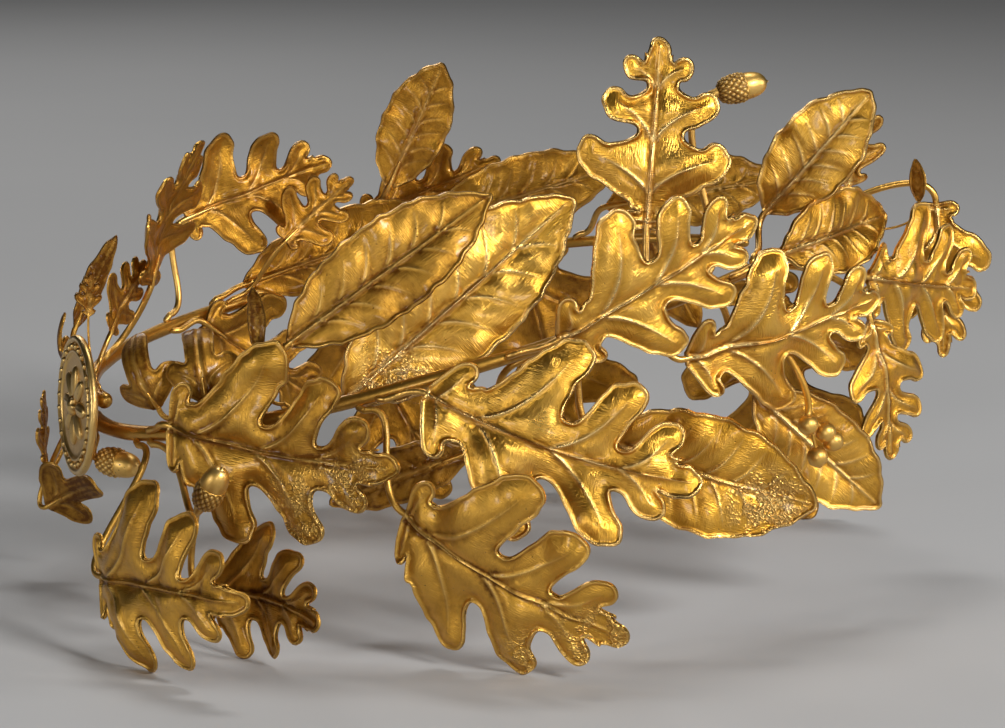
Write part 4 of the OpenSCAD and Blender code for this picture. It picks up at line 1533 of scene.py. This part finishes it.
@dataclass
class Medallion:
    """The forehead's round plate with a raised rim, beads and a plain rosette."""

    ring: HeadRing
    diameter: float = 38.6
    thickness: float = 1.6
    height: float = 56.0
    lean: float = 3.0
    beads: int = 28
    petals: int = 8
    bead_d: float = 1.9
    rim_inset: float = 3.0
    petal_middle: float = 6.6
    petal_length: float = 9.0
    petal_width: float = 4.4
    petal_crown: float = 1.15
    petal_ridge: float = 0.22
    petal_sink: float = 0.15
    boss_radius: float = 2.7
    boss_height: float = 2.1
    boss_lift: float = 0.2
    in_front: float = 6.0
    plate_sides: int = 128
    bead_sides: int = 16
    post_sides: int = 36
    boss_sides: int = 40
    dent: float = 0.07
    dent_length: float = 7.0
    dent_seed: int = 5
    bead_seed: int = 3

    def plate(self) -> tuple[np.ndarray, list]:
        """Make the plate with its rims.

        Returns:
            Points and faces, the front at +Z.
        """
        radius = self.diameter / 2
        face = self.thickness / 2
        turns = np.radians(np.linspace(-115, 140, 14))
        rim = np.stack([radius - 1.1 + 1.1 * np.cos(turns), 1.15 * np.sin(turns)], 1)
        inner = np.radians(np.linspace(0, 180, 7))
        small = np.stack([radius - 4.4 + 0.5 * np.cos(inner), face + 0.42 * np.sin(inner)], 1)
        dish = [(radius - 6.5, face - 0.05), (9.0, face - 0.12), (5.0, face - 0.1), (1.0, face)]
        dish.append((AXIS_RADIUS, face))
        back = [(AXIS_RADIUS, -face), (6.0, -face), (radius - 3.2, -face)]
        return turned(np.vstack([back, rim, small, dish]), self.plate_sides)

    def petal(self) -> tuple[np.ndarray, list, np.ndarray]:
        """Make one pointed petal with a raised middle line, its length along +X.

        Returns:
            Points, faces and marks.
        """
        rows, columns = 21, 13
        lengthways = np.linspace(-1, 1, rows)
        crossways = np.linspace(-1, 1, columns)
        half = self.petal_width / 2 * np.sqrt(np.clip(1 - np.abs(lengthways) ** 2.2, 0.004, 1))
        points, marks = [], []
        for a, wide in zip(lengthways, half):
            crown = self.petal_crown * math.sqrt(max(1 - abs(a) ** 2.5, 0.0))
            for b in crossways:
                vault = crown * math.sqrt(1 - min(abs(b), 0.999) ** 2.4)
                rise = vault + self.petal_ridge * crown * math.exp(-((b / 0.16) ** 2))
                points.append((a * self.petal_length / 2, b * wide, rise - self.petal_sink))
                marks.append((0.7 * abs(b) ** 3, 0.35 + 0.6 * math.exp(-((b / 0.2) ** 2)), 0))
        top = np.array(points)
        bottom = top * [1, 1, 0] - [0, 0, 0.5]
        count = len(top)
        faces = []
        for i in range(rows - 1):
            for k in range(columns - 1):
                a = i * columns + k
                b, c, d = a + 1, a + columns + 1, a + columns
                faces.append((a, d, c, b))
                faces.append((a + count, b + count, c + count, d + count))
        border = list(range(columns)) + [i * columns + columns - 1 for i in range(1, rows)]
        border += [(rows - 1) * columns + k for k in range(columns - 2, -1, -1)]
        border += [i * columns for i in range(rows - 2, 0, -1)]
        for a, b in zip(border, border[1:] + border[:1]):
            faces.append((a, b, b + count, a + count))
        return np.vstack([top, bottom]), faces, np.vstack([marks, marks])

    def build(self) -> bpy.types.Object:
        """Make the medallion.

        Returns:
            The medallion's object.
        """
        face = self.thickness / 2
        parts = MeshParts()
        points, faces = self.plate()
        width = np.hypot(points[:, 0], points[:, 1])
        radius = self.diameter / 2
        inset = width - radius
        raised = hump(inset, -0.9, 0.7) + 0.8 * hump(inset, -4.4, 0.4)
        deep = hump(inset, -2.4, 0.7) + 0.4 * hump(inset, -5.6, 0.8)
        dent = self.dent * swell(points[:, :2], self.dent_seed, self.dent_length)
        points[:, 2] += dent * (points[:, 2] > 0)
        parts.add(points, faces, np.clip(np.stack([deep, raised, width * 0], 1), 0, 1))
        angles = np.linspace(0.05, math.pi - 0.05, 12)
        ball = np.stack([np.sin(angles), -np.cos(angles)], 1)
        rng = np.random.default_rng(self.bead_seed)
        for k in range(self.beads):
            turn = FULL_TURN * k / self.beads
            size = self.bead_d / 2 * rng.uniform(0.92, 1.06)
            bead, bead_faces = turned(ball * size, self.bead_sides)
            worn = np.clip(bead[:, 2] / size, 0, 1)
            outward = np.array([math.cos(turn), math.sin(turn), 0])
            place = (radius - self.rim_inset) * outward + [0, 0, face]
            parts.add(bead + place, bead_faces, np.stack([1 - worn, worn, worn * 0], 1))
        petal, petal_faces, marks = self.petal()
        for k in range(self.petals):
            turn = FULL_TURN * (k + 1) / self.petals
            c, s = math.cos(turn), math.sin(turn)
            spun = np.stack([petal[:, 0] + self.petal_middle, petal[:, 1], petal[:, 2] + face], 1)
            spun = spun @ np.array([[c, s, 0], [-s, c, 0], [0, 0, 1]])
            parts.add(spun, petal_faces, marks)
        points, faces = turned(ball * [self.boss_radius, self.boss_height], self.boss_sides)
        lobes = np.cos(7 * np.arctan2(points[:, 1], points[:, 0])) * 0.12
        points[:, :2] *= (1 + lobes * (np.abs(points[:, 2]) < 1.7))[:, None]
        worn = np.clip(points[:, 2] / self.boss_height, 0, 1)
        parts.add(points + [0, 0, face + self.boss_lift], faces, np.stack([1 - worn, worn, worn * 0], 1))
        parts.add(*turned(np.array(POST_PROFILE), self.post_sides))
        lean = math.radians(90 - self.lean)
        c, s = math.cos(lean), math.sin(lean)
        turn = np.array([[1, 0, 0], [0, c, s], [0, -s, c]])
        middle = np.array([0, -self.ring.half_length - self.in_front, self.height])
        parts.points = [p @ turn + middle for p in parts.points]
        return parts.build("plate_medallion")


# Finishes


Colour = tuple[float, float, float]


@dataclass(frozen=True)
class GiltFinish:
    """A gilt surface and its age."""

    slot: Slot
    gold: Colour
    brown: Colour
    pale: Colour
    satin: float
    polish: float
    tarnish: float
    hatching: float
    pitting: float
    stains: float = 0.2
    lacquer: float = 0.25
    lacquer_roughness: float = 0.16
    grime: Colour = (0.09, 0.035, 0.012)
    grime_share: float = 0.8
    worn_share: float = 0.75
    # Painted highlight: share of the pale colour laid on crumpled spots as their glints
    crumple_painted_glint: float = 0.5
    crumple_height: float = 3.4
    film_roughness: float = 0.2
    cloud_roughness: float = 0.05
    line_roughness: float = 0.04
    relief_depth: float = 0.00012


def link_group(tree: bpy.types.NodeTree, group: bpy.types.NodeTree, values: dict) -> bpy.types.Node:
    """Place a node group and set or link its inputs.

    Args:
        tree: Where the group is placed.
        group: The group.
        values: For each input a number, a colour or an output socket.

    Returns:
        The placed group.
    """
    node = tree.nodes.new("ShaderNodeGroup")
    node.node_tree = group
    for name, value in values.items():
        wire(tree, value, node.inputs[name])
    return node


def wire(tree: bpy.types.NodeTree, value: object, socket: bpy.types.NodeSocket) -> None:
    """Link a socket to an output, or set its value.

    Args:
        tree: The tree that holds both.
        value: An output socket, a number or a colour.
        socket: The input.
    """
    if isinstance(value, bpy.types.NodeSocket):
        tree.links.new(value, socket)
    elif isinstance(value, tuple) and len(value) == 3 and socket.type == "RGBA":
        socket.default_value = (*value, 1.0)
    else:
        socket.default_value = value


@dataclass
class NodeBench:
    """Short ways to place the nodes of one tree."""

    tree: bpy.types.NodeTree

    def math(self, operation: str, *values: object, clamp: bool = False) -> bpy.types.NodeSocket:
        """Place a Math node and give its output."""
        node = self.tree.nodes.new("ShaderNodeMath")
        node.operation = operation
        node.use_clamp = clamp
        for value, socket in zip(values, node.inputs):
            wire(self.tree, value, socket)
        return node.outputs[0]

    def step(
        self, value: object, low: float, high: float, to_low: float = 0.0, to_high: float = 1.0
    ) -> bpy.types.NodeSocket:
        """Place a smooth Map Range node and give its output."""
        node = self.tree.nodes.new("ShaderNodeMapRange")
        node.interpolation_type = "SMOOTHSTEP"
        names = ("From Min", "From Max", "To Min", "To Max")
        for name, number in zip(names, (low, high, to_low, to_high)):
            node.inputs[name].default_value = number
        wire(self.tree, value, node.inputs["Value"])
        return node.outputs["Result"]

    def noise(
        self, vector: object, scale: float, detail: float = 3.0, roughness: float = 0.55
    ) -> bpy.types.NodeSocket:
        """Place a Noise node and give its value."""
        node = self.tree.nodes.new("ShaderNodeTexNoise")
        node.inputs["Scale"].default_value = scale
        node.inputs["Detail"].default_value = detail
        node.inputs["Roughness"].default_value = roughness
        wire(self.tree, vector, node.inputs["Vector"])
        return node.outputs["Fac"]

    def cells(self, vector: object, scale: float, feature: str = "F1") -> bpy.types.NodeSocket:
        """Place a Voronoi node and give its distance."""
        node = self.tree.nodes.new("ShaderNodeTexVoronoi")
        node.feature = feature
        node.inputs["Scale"].default_value = scale
        wire(self.tree, vector, node.inputs["Vector"])
        return node.outputs["Distance"]

    def stretched(self, vector: object, factors: tuple[float, float, float]) -> bpy.types.NodeSocket:
        """Multiply a vector by three factors."""
        node = self.tree.nodes.new("ShaderNodeVectorMath")
        node.operation = "MULTIPLY"
        wire(self.tree, vector, node.inputs[0])
        node.inputs[1].default_value = factors
        return node.outputs[0]

    def blend(self, share: object, first: object, second: object) -> bpy.types.NodeSocket:
        """Mix two colours and give the result."""
        node = self.tree.nodes.new("ShaderNodeMix")
        node.data_type = "RGBA"
        wire(self.tree, share, node.inputs["Factor"])
        wire(self.tree, first, node.inputs["A"])
        wire(self.tree, second, node.inputs["B"])
        return node.outputs["Result"]


def new_group(name: str, inputs: tuple, outputs: tuple) -> tuple[NodeBench, bpy.types.Node, bpy.types.Node]:
    """Start a node group with named sockets.

    Args:
        name: The group's name.
        inputs: Pairs of name and kind, which is float, vector or color.
        outputs: Pairs of name and kind.

    Returns:
        The group's bench, its input node and its output node.
    """
    kinds = {"float": "NodeSocketFloat", "vector": "NodeSocketVector", "color": "NodeSocketColor"}
    group = bpy.data.node_groups.new(name, "ShaderNodeTree")
    for label, kind in inputs:
        group.interface.new_socket(label, in_out="INPUT", socket_type=kinds[kind])
    for label, kind in outputs:
        group.interface.new_socket(label, in_out="OUTPUT", socket_type=kinds[kind])
    return NodeBench(group), group.nodes.new("NodeGroupInput"), group.nodes.new("NodeGroupOutput")


class FinishShop:
    """Builds the shared effects once and mixes each gilt material from them."""

    def __init__(self) -> None:
        """Build the effects."""
        self.tarnish = self.make_tarnish()
        self.hatching = self.make_hatching()
        self.pitting = self.make_pitting()
        self.crumple = self.make_crumple()

    def make_tarnish(self) -> bpy.types.NodeTree:
        """Build the effect of brown film where the first mark asks for it, and in drifting patches. The
        first mark is tarnish in recesses, and on leaves also painted shade.

        Returns:
            The node group.
        """
        bench, source, sink = new_group(
            "brown_film",
            (("Vector", "vector"), ("Darkening", "float"), ("Amount", "float")),
            (("Film", "float"), ("Cloud", "float"), ("Speck", "float")),
        )
        vector = source.outputs["Vector"]
        cloud = bench.step(bench.noise(vector, 42.0, 4.0, 0.55), 0.36, 0.72)
        fine = bench.step(bench.noise(vector, 420.0, 4.0, 0.65), 0.35, 0.75)
        rough = bench.math("ADD", 0.75, bench.math("MULTIPLY", fine, 0.3))
        deep = bench.math("MULTIPLY", source.outputs["Darkening"], rough)
        drift = bench.math("MULTIPLY", cloud, bench.math("ADD", 0.25, bench.math("MULTIPLY", fine, 0.5)))
        both = bench.math("ADD", deep, bench.math("MULTIPLY", drift, 0.8))
        film = bench.math("MULTIPLY", both, source.outputs["Amount"], clamp=True)
        speck = bench.step(bench.cells(vector, 300.0), 0.11, 0.04)
        speck = bench.math("MULTIPLY", speck, bench.step(bench.noise(vector, 90.0, 2.0), 0.5, 0.62))
        bench.tree.links.new(film, sink.inputs["Film"])
        bench.tree.links.new(cloud, sink.inputs["Cloud"])
        bench.tree.links.new(speck, sink.inputs["Speck"])
        return bench.tree

    def make_hatching(self) -> bpy.types.NodeTree:
        """Build the effect of fine tool lines that run across the blade.

        Returns:
            The node group.
        """
        bench, source, sink = new_group(
            "tool_lines",
            (("Blade", "vector"), ("Strength", "float")),
            (("Height", "float"), ("Lines", "float")),
        )
        blade = source.outputs["Blade"]
        lines = bench.noise(bench.stretched(blade, (4.2, 0.5, 1.0)), 1.0, 2.0, 0.5)
        slanted = bench.noise(bench.stretched(blade, (0.55, 3.4, 1.0)), 1.0, 2.0, 0.5)
        area = bench.step(bench.noise(bench.stretched(blade, (0.12, 0.12, 1.0)), 1.0, 1.0), 0.42, 0.6)
        other = bench.math("SUBTRACT", 1.0, area)
        lines = bench.math("MULTIPLY", lines, area)
        mixed = bench.math("ADD", lines, bench.math("MULTIPLY", slanted, other))
        height = bench.math("MULTIPLY", mixed, source.outputs["Strength"])
        bench.tree.links.new(height, sink.inputs["Height"])
        bench.tree.links.new(bench.step(mixed, 0.4, 0.6), sink.inputs["Lines"])
        return bench.tree

    def make_pitting(self) -> bpy.types.NodeTree:
        """Build the effect of small pits and dents.

        Returns:
            The node group.
        """
        bench, source, sink = new_group(
            "pits", (("Vector", "vector"), ("Strength", "float")), (("Height", "float"), ("Pit", "float"))
        )
        vector = source.outputs["Vector"]
        pit = bench.step(bench.cells(vector, 620.0), 0.16, 0.05)
        some = bench.step(bench.noise(vector, 160.0, 2.0), 0.52, 0.62)
        pit = bench.math("MULTIPLY", pit, some)
        dent = bench.noise(vector, 260.0, 3.0, 0.6)
        height = bench.math("SUBTRACT", dent, bench.math("MULTIPLY", pit, 1.2))
        height = bench.math("MULTIPLY", height, source.outputs["Strength"])
        bench.tree.links.new(height, sink.inputs["Height"])
        bench.tree.links.new(pit, sink.inputs["Pit"])
        return bench.tree

    def make_crumple(self) -> bpy.types.NodeTree:
        """Build the effect of sharp, granular crumples in marked places.

        Returns:
            The node group.
        """
        bench, source, sink = new_group(
            "crumples", (("Vector", "vector"), ("Share", "float")), (("Height", "float"), ("Mask", "float"))
        )
        vector = source.outputs["Vector"]
        crumple_spots = bench.noise(vector, 260.0, 3.0, 0.6)
        share = bench.math("MULTIPLY", source.outputs["Share"], bench.step(crumple_spots, 0.4, 0.55))
        ridges = bench.step(bench.cells(vector, 900.0, "DISTANCE_TO_EDGE"), 0.0, 0.28, 1.0, 0.0)
        fine = bench.noise(vector, 1400.0, 3.0, 0.7)
        height = bench.math("ADD", ridges, bench.math("MULTIPLY", fine, 0.6))
        bench.tree.links.new(bench.math("MULTIPLY", height, share), sink.inputs["Height"])
        bench.tree.links.new(share, sink.inputs["Mask"])
        return bench.tree

    def material(self, finish: GiltFinish) -> bpy.types.Material:
        """Mix one gilt material.

        Args:
            finish: The finish.

        Returns:
            The material.
        """
        material = bpy.data.materials.new(finish.slot.value)
        material.use_nodes = True
        tree = material.node_tree
        bench = NodeBench(tree)
        shader = tree.nodes["Principled BSDF"]
        place = tree.nodes.new("ShaderNodeTexCoord").outputs["Object"]
        marks = tree.nodes.new("ShaderNodeAttribute")
        marks.attribute_name = "marks"
        split = tree.nodes.new("ShaderNodeSeparateXYZ")
        tree.links.new(marks.outputs["Vector"], split.inputs[0])
        # The first mark is brown film: tarnish in recesses, and on leaves also painted shade
        darkening, worn, crumpled = split.outputs
        blade = tree.nodes.new("ShaderNodeAttribute")
        blade.attribute_name = "blade"
        film = link_group(tree, self.tarnish, {"Vector": place, "Darkening": darkening, "Amount": finish.tarnish})
        hatched = {"Blade": blade.outputs["Vector"], "Strength": finish.hatching}
        lines = link_group(tree, self.hatching, hatched)
        pits = link_group(tree, self.pitting, {"Vector": place, "Strength": finish.pitting})
        crumple = link_group(tree, self.crumple, {"Vector": place, "Share": crumpled})
        colour = bench.blend(bench.math("MULTIPLY", worn, finish.worn_share), finish.gold, finish.pale)
        colour = bench.blend(film.outputs["Film"], colour, finish.brown)
        specks = bench.math("MULTIPLY", film.outputs["Speck"], finish.stains)
        dark = bench.math("MAXIMUM", pits.outputs["Pit"], specks)
        colour = bench.blend(bench.math("MULTIPLY", dark, finish.grime_share), colour, finish.grime)
        # Painted highlight: crumpled spots are blended toward the pale colour as glints
        crumple_spots = bench.math("MULTIPLY", crumple.outputs["Mask"], finish.crumple_painted_glint)
        colour = bench.blend(crumple_spots, colour, finish.pale)
        tree.links.new(colour, shader.inputs["Base Color"])
        rough = bench.math("MULTIPLY", worn, finish.polish - finish.satin)
        rough = bench.math("ADD", finish.satin, rough)
        for socket, share in (
            (film.outputs["Film"], finish.film_roughness),
            (film.outputs["Cloud"], finish.cloud_roughness),
            (lines.outputs["Lines"], finish.line_roughness),
        ):
            rough = bench.math("ADD", rough, bench.math("MULTIPLY", socket, share), clamp=True)
        tree.links.new(rough, shader.inputs["Roughness"])
        shader.inputs["Metallic"].default_value = 1.0
        shader.inputs["Coat Weight"].default_value = finish.lacquer
        shader.inputs["Coat Roughness"].default_value = finish.lacquer_roughness
        height = bench.math("ADD", lines.outputs["Height"], pits.outputs["Height"])
        ridges = bench.math("MULTIPLY", crumple.outputs["Height"], finish.crumple_height)
        height = bench.math("ADD", height, ridges)
        bump = tree.nodes.new("ShaderNodeBump")
        bump.inputs["Strength"].default_value = 1.0
        bump.inputs["Distance"].default_value = finish.relief_depth
        tree.links.new(height, bump.inputs["Height"])
        tree.links.new(bump.outputs["Normal"], shader.inputs["Normal"])
        return material


FINISHES = (
    GiltFinish(
        Slot.BRIGHT,
        gold=(0.88, 0.46, 0.05),
        brown=(0.26, 0.095, 0.01),
        pale=(0.99, 0.78, 0.37),
        satin=0.28,
        polish=0.21,
        tarnish=0.7,
        hatching=1.8,
        pitting=0.6,
    ),
    GiltFinish(
        Slot.SATIN,
        gold=(0.81, 0.4, 0.034),
        brown=(0.23, 0.08, 0.008),
        pale=(0.97, 0.71, 0.28),
        satin=0.29,
        polish=0.21,
        tarnish=0.8,
        hatching=1.8,
        pitting=0.7,
        stains=0.4,
    ),
    GiltFinish(
        Slot.AGED,
        gold=(0.76, 0.4, 0.05),
        brown=(0.17, 0.062, 0.008),
        pale=(0.93, 0.63, 0.2),
        satin=0.36,
        polish=0.26,
        tarnish=1.0,
        hatching=1.6,
        pitting=0.9,
        stains=0.9,
    ),
    GiltFinish(
        Slot.BRANCH,
        gold=(0.6, 0.31, 0.045),
        brown=(0.17, 0.07, 0.01),
        pale=(0.85, 0.53, 0.13),
        satin=0.33,
        polish=0.24,
        tarnish=0.8,
        hatching=0.4,
        pitting=0.8,
        stains=0.5,
    ),
    GiltFinish(
        Slot.FRUIT,
        gold=(0.8, 0.46, 0.09),
        brown=(0.2, 0.08, 0.012),
        pale=(0.96, 0.68, 0.25),
        satin=0.45,
        polish=0.34,
        tarnish=0.8,
        hatching=0.3,
        pitting=0.5,
        stains=0.3,
    ),
    GiltFinish(
        Slot.MEDALLION,
        gold=(0.8, 0.5, 0.15),
        brown=(0.28, 0.13, 0.025),
        pale=(0.94, 0.68, 0.27),
        satin=0.36,
        polish=0.26,
        tarnish=0.7,
        hatching=0.3,
        pitting=0.9,
        stains=0.6,
    ),
)


# The room


@dataclass(frozen=True)
class Lamp:
    """A soft light: metres right of, beyond and above the wreath, its size, and its power in watts."""

    name: str
    aside: float
    away: float
    rise: float
    size: tuple[float, float]
    power: float


LAMPS = (
    Lamp("key", 0.85, -1.0, 0.75, (0.33, 0.26), 14),
    Lamp("front", -0.05, -1.35, 0.22, (0.25, 0.16), 2.2),
    Lamp("top", 0.15, 0.4, 1.4, (0.45, 0.25), 4.8),
    Lamp("left", -1.15, -0.9, 0.3, (0.25, 0.35), 3.7),
    Lamp("right", 1.35, -0.25, 0.45, (0.22, 0.4), 3.9),
    Lamp("behind", -0.5, 1.3, 0.8, (0.5, 0.35), 3),
)


@dataclass(frozen=True)
class Room:
    """The floor, the lights and the camera."""

    azimuth: float = 70.0
    elevation: float = 11.5
    distance: float = 1.05
    lens: float = 133.5
    aim_right: float = 0.0142
    aim_height: float = 0.06
    lamp_aim: tuple[float, float, float] = (0.01, 0.01, 0.07)
    sensor_width: float = 36.0
    nearest: float = 0.05
    floor_size: float = 40.0
    floor_roughness: float = 0.8
    floor_dark: Colour = (0.5, 0.5, 0.5)
    floor_light: Colour = (0.56, 0.555, 0.55)
    air_colour: tuple[float, float, float, float] = (1.0, 0.97, 0.92, 1.0)
    air_strength: float = 0.01

    def add_floor(self) -> None:
        """Lay the pale floor."""
        bpy.ops.mesh.primitive_plane_add(size=self.floor_size, location=(0, 0, 0))
        floor = bpy.context.object
        floor.name = "floor"
        material = bpy.data.materials.new("pale_floor")
        material.use_nodes = True
        tree = material.node_tree
        bench = NodeBench(tree)
        place = tree.nodes.new("ShaderNodeTexCoord").outputs["Object"]
        share = bench.noise(place, 3.0, 4.0)
        colour = bench.blend(share, self.floor_dark, self.floor_light)
        shader = tree.nodes["Principled BSDF"]
        tree.links.new(colour, shader.inputs["Base Color"])
        shader.inputs["Roughness"].default_value = self.floor_roughness
        floor.data.materials.append(material)

    def add_lamp(self, lamp: Lamp) -> None:
        """Hang a soft rectangular light that points at the wreath.

        Args:
            lamp: The light.
        """
        a = math.radians(self.azimuth)
        right = np.array([math.cos(a), math.sin(a), 0])
        away = np.array([-math.sin(a), math.cos(a), 0])
        place = Vector(right * lamp.aside + away * lamp.away + UP * lamp.rise)
        light = bpy.data.lights.new(lamp.name, "AREA")
        light.shape = "RECTANGLE"
        light.size, light.size_y = lamp.size
        light.energy = lamp.power
        hung = bpy.data.objects.new(lamp.name, light)
        hung.location = place
        aim = Vector(self.lamp_aim) - place
        hung.rotation_euler = aim.to_track_quat("-Z", "Y").to_euler()
        bpy.context.scene.collection.objects.link(hung)

    def add_lights(self) -> None:
        """Hang the lights and set the dim surroundings."""
        for lamp in LAMPS:
            self.add_lamp(lamp)
        bpy.context.scene.view_settings.view_transform = "Standard"
        world = bpy.data.worlds.new("dim_room")
        bpy.context.scene.world = world
        world.use_nodes = True
        background = world.node_tree.nodes["Background"]
        background.inputs["Color"].default_value = self.air_colour
        background.inputs["Strength"].default_value = self.air_strength

    def add_camera(self) -> None:
        """Set up the camera at the photograph's angle."""
        a, e = math.radians(self.azimuth), math.radians(self.elevation)
        right = Vector((math.cos(a), math.sin(a), 0))
        forward = Vector((-math.sin(a) * math.cos(e), math.cos(a) * math.cos(e), -math.sin(e)))
        target = right * self.aim_right + Vector((0, 0, self.aim_height))
        camera = bpy.data.cameras.new("camera")
        camera.lens = self.lens
        camera.sensor_width = self.sensor_width
        camera.clip_start = self.nearest
        view = bpy.data.objects.new("camera", camera)
        turn = Matrix((right, right.cross(forward), -forward)).transposed().to_4x4()
        view.matrix_world = Matrix.Translation(target - forward * self.distance) @ turn
        bpy.context.scene.collection.objects.link(view)
        bpy.context.scene.camera = view


# Putting it together


@dataclass
class Wreath:
    """All the pieces of the wreath."""

    ring: HeadRing
    materials: dict[Slot, bpy.types.Material]

    def dress(self, piece: bpy.types.Object, slot: Slot, node: str) -> None:
        """Give a piece its finish and put it in its solid's place.

        Args:
            piece: The piece.
            slot: Its material slot.
            node: The solid that it stands for.
        """
        piece.data.materials.append(self.materials[slot])
        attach(piece, "root")
        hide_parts(node)
        LOG.info("%s: %d faces", piece.name, len(piece.data.polygons))

    def build(self) -> None:
        """Build and dress every piece."""
        for side, node in ((LEFT, "branch_left"), (RIGHT, "branch_right")):
            self.dress(Branch(side, self.ring).build(), Slot.BRANCH, node)
        self.dress(Medallion(self.ring).build(), Slot.MEDALLION, "medallion")
        self.dress(BerryCluster(self.ring).build(), Slot.FRUIT, "berry_cluster")
        stalk = Stalk(self.ring)
        for row in LEAF_ROWS:
            place = LeafPlace(*row)
            self.dress(Leaf(place, self.ring, stalk).build(), place.slot, place.name)
        for row in ACORN_ROWS:
            self.dress(Acorn(*row, self.ring).build(), Slot.FRUIT, row[0])


def main() -> None:
    """Build the wreath and its room."""
    logging.basicConfig(level=logging.INFO, format="%(message)s")
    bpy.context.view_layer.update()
    shop = FinishShop()
    materials = {finish.slot: shop.material(finish) for finish in FINISHES}
    Wreath(HeadRing(), materials).build()
    room = Room()
    room.add_floor()
    room.add_lights()
    room.add_camera()


if __name__ == "__main__":
    main()
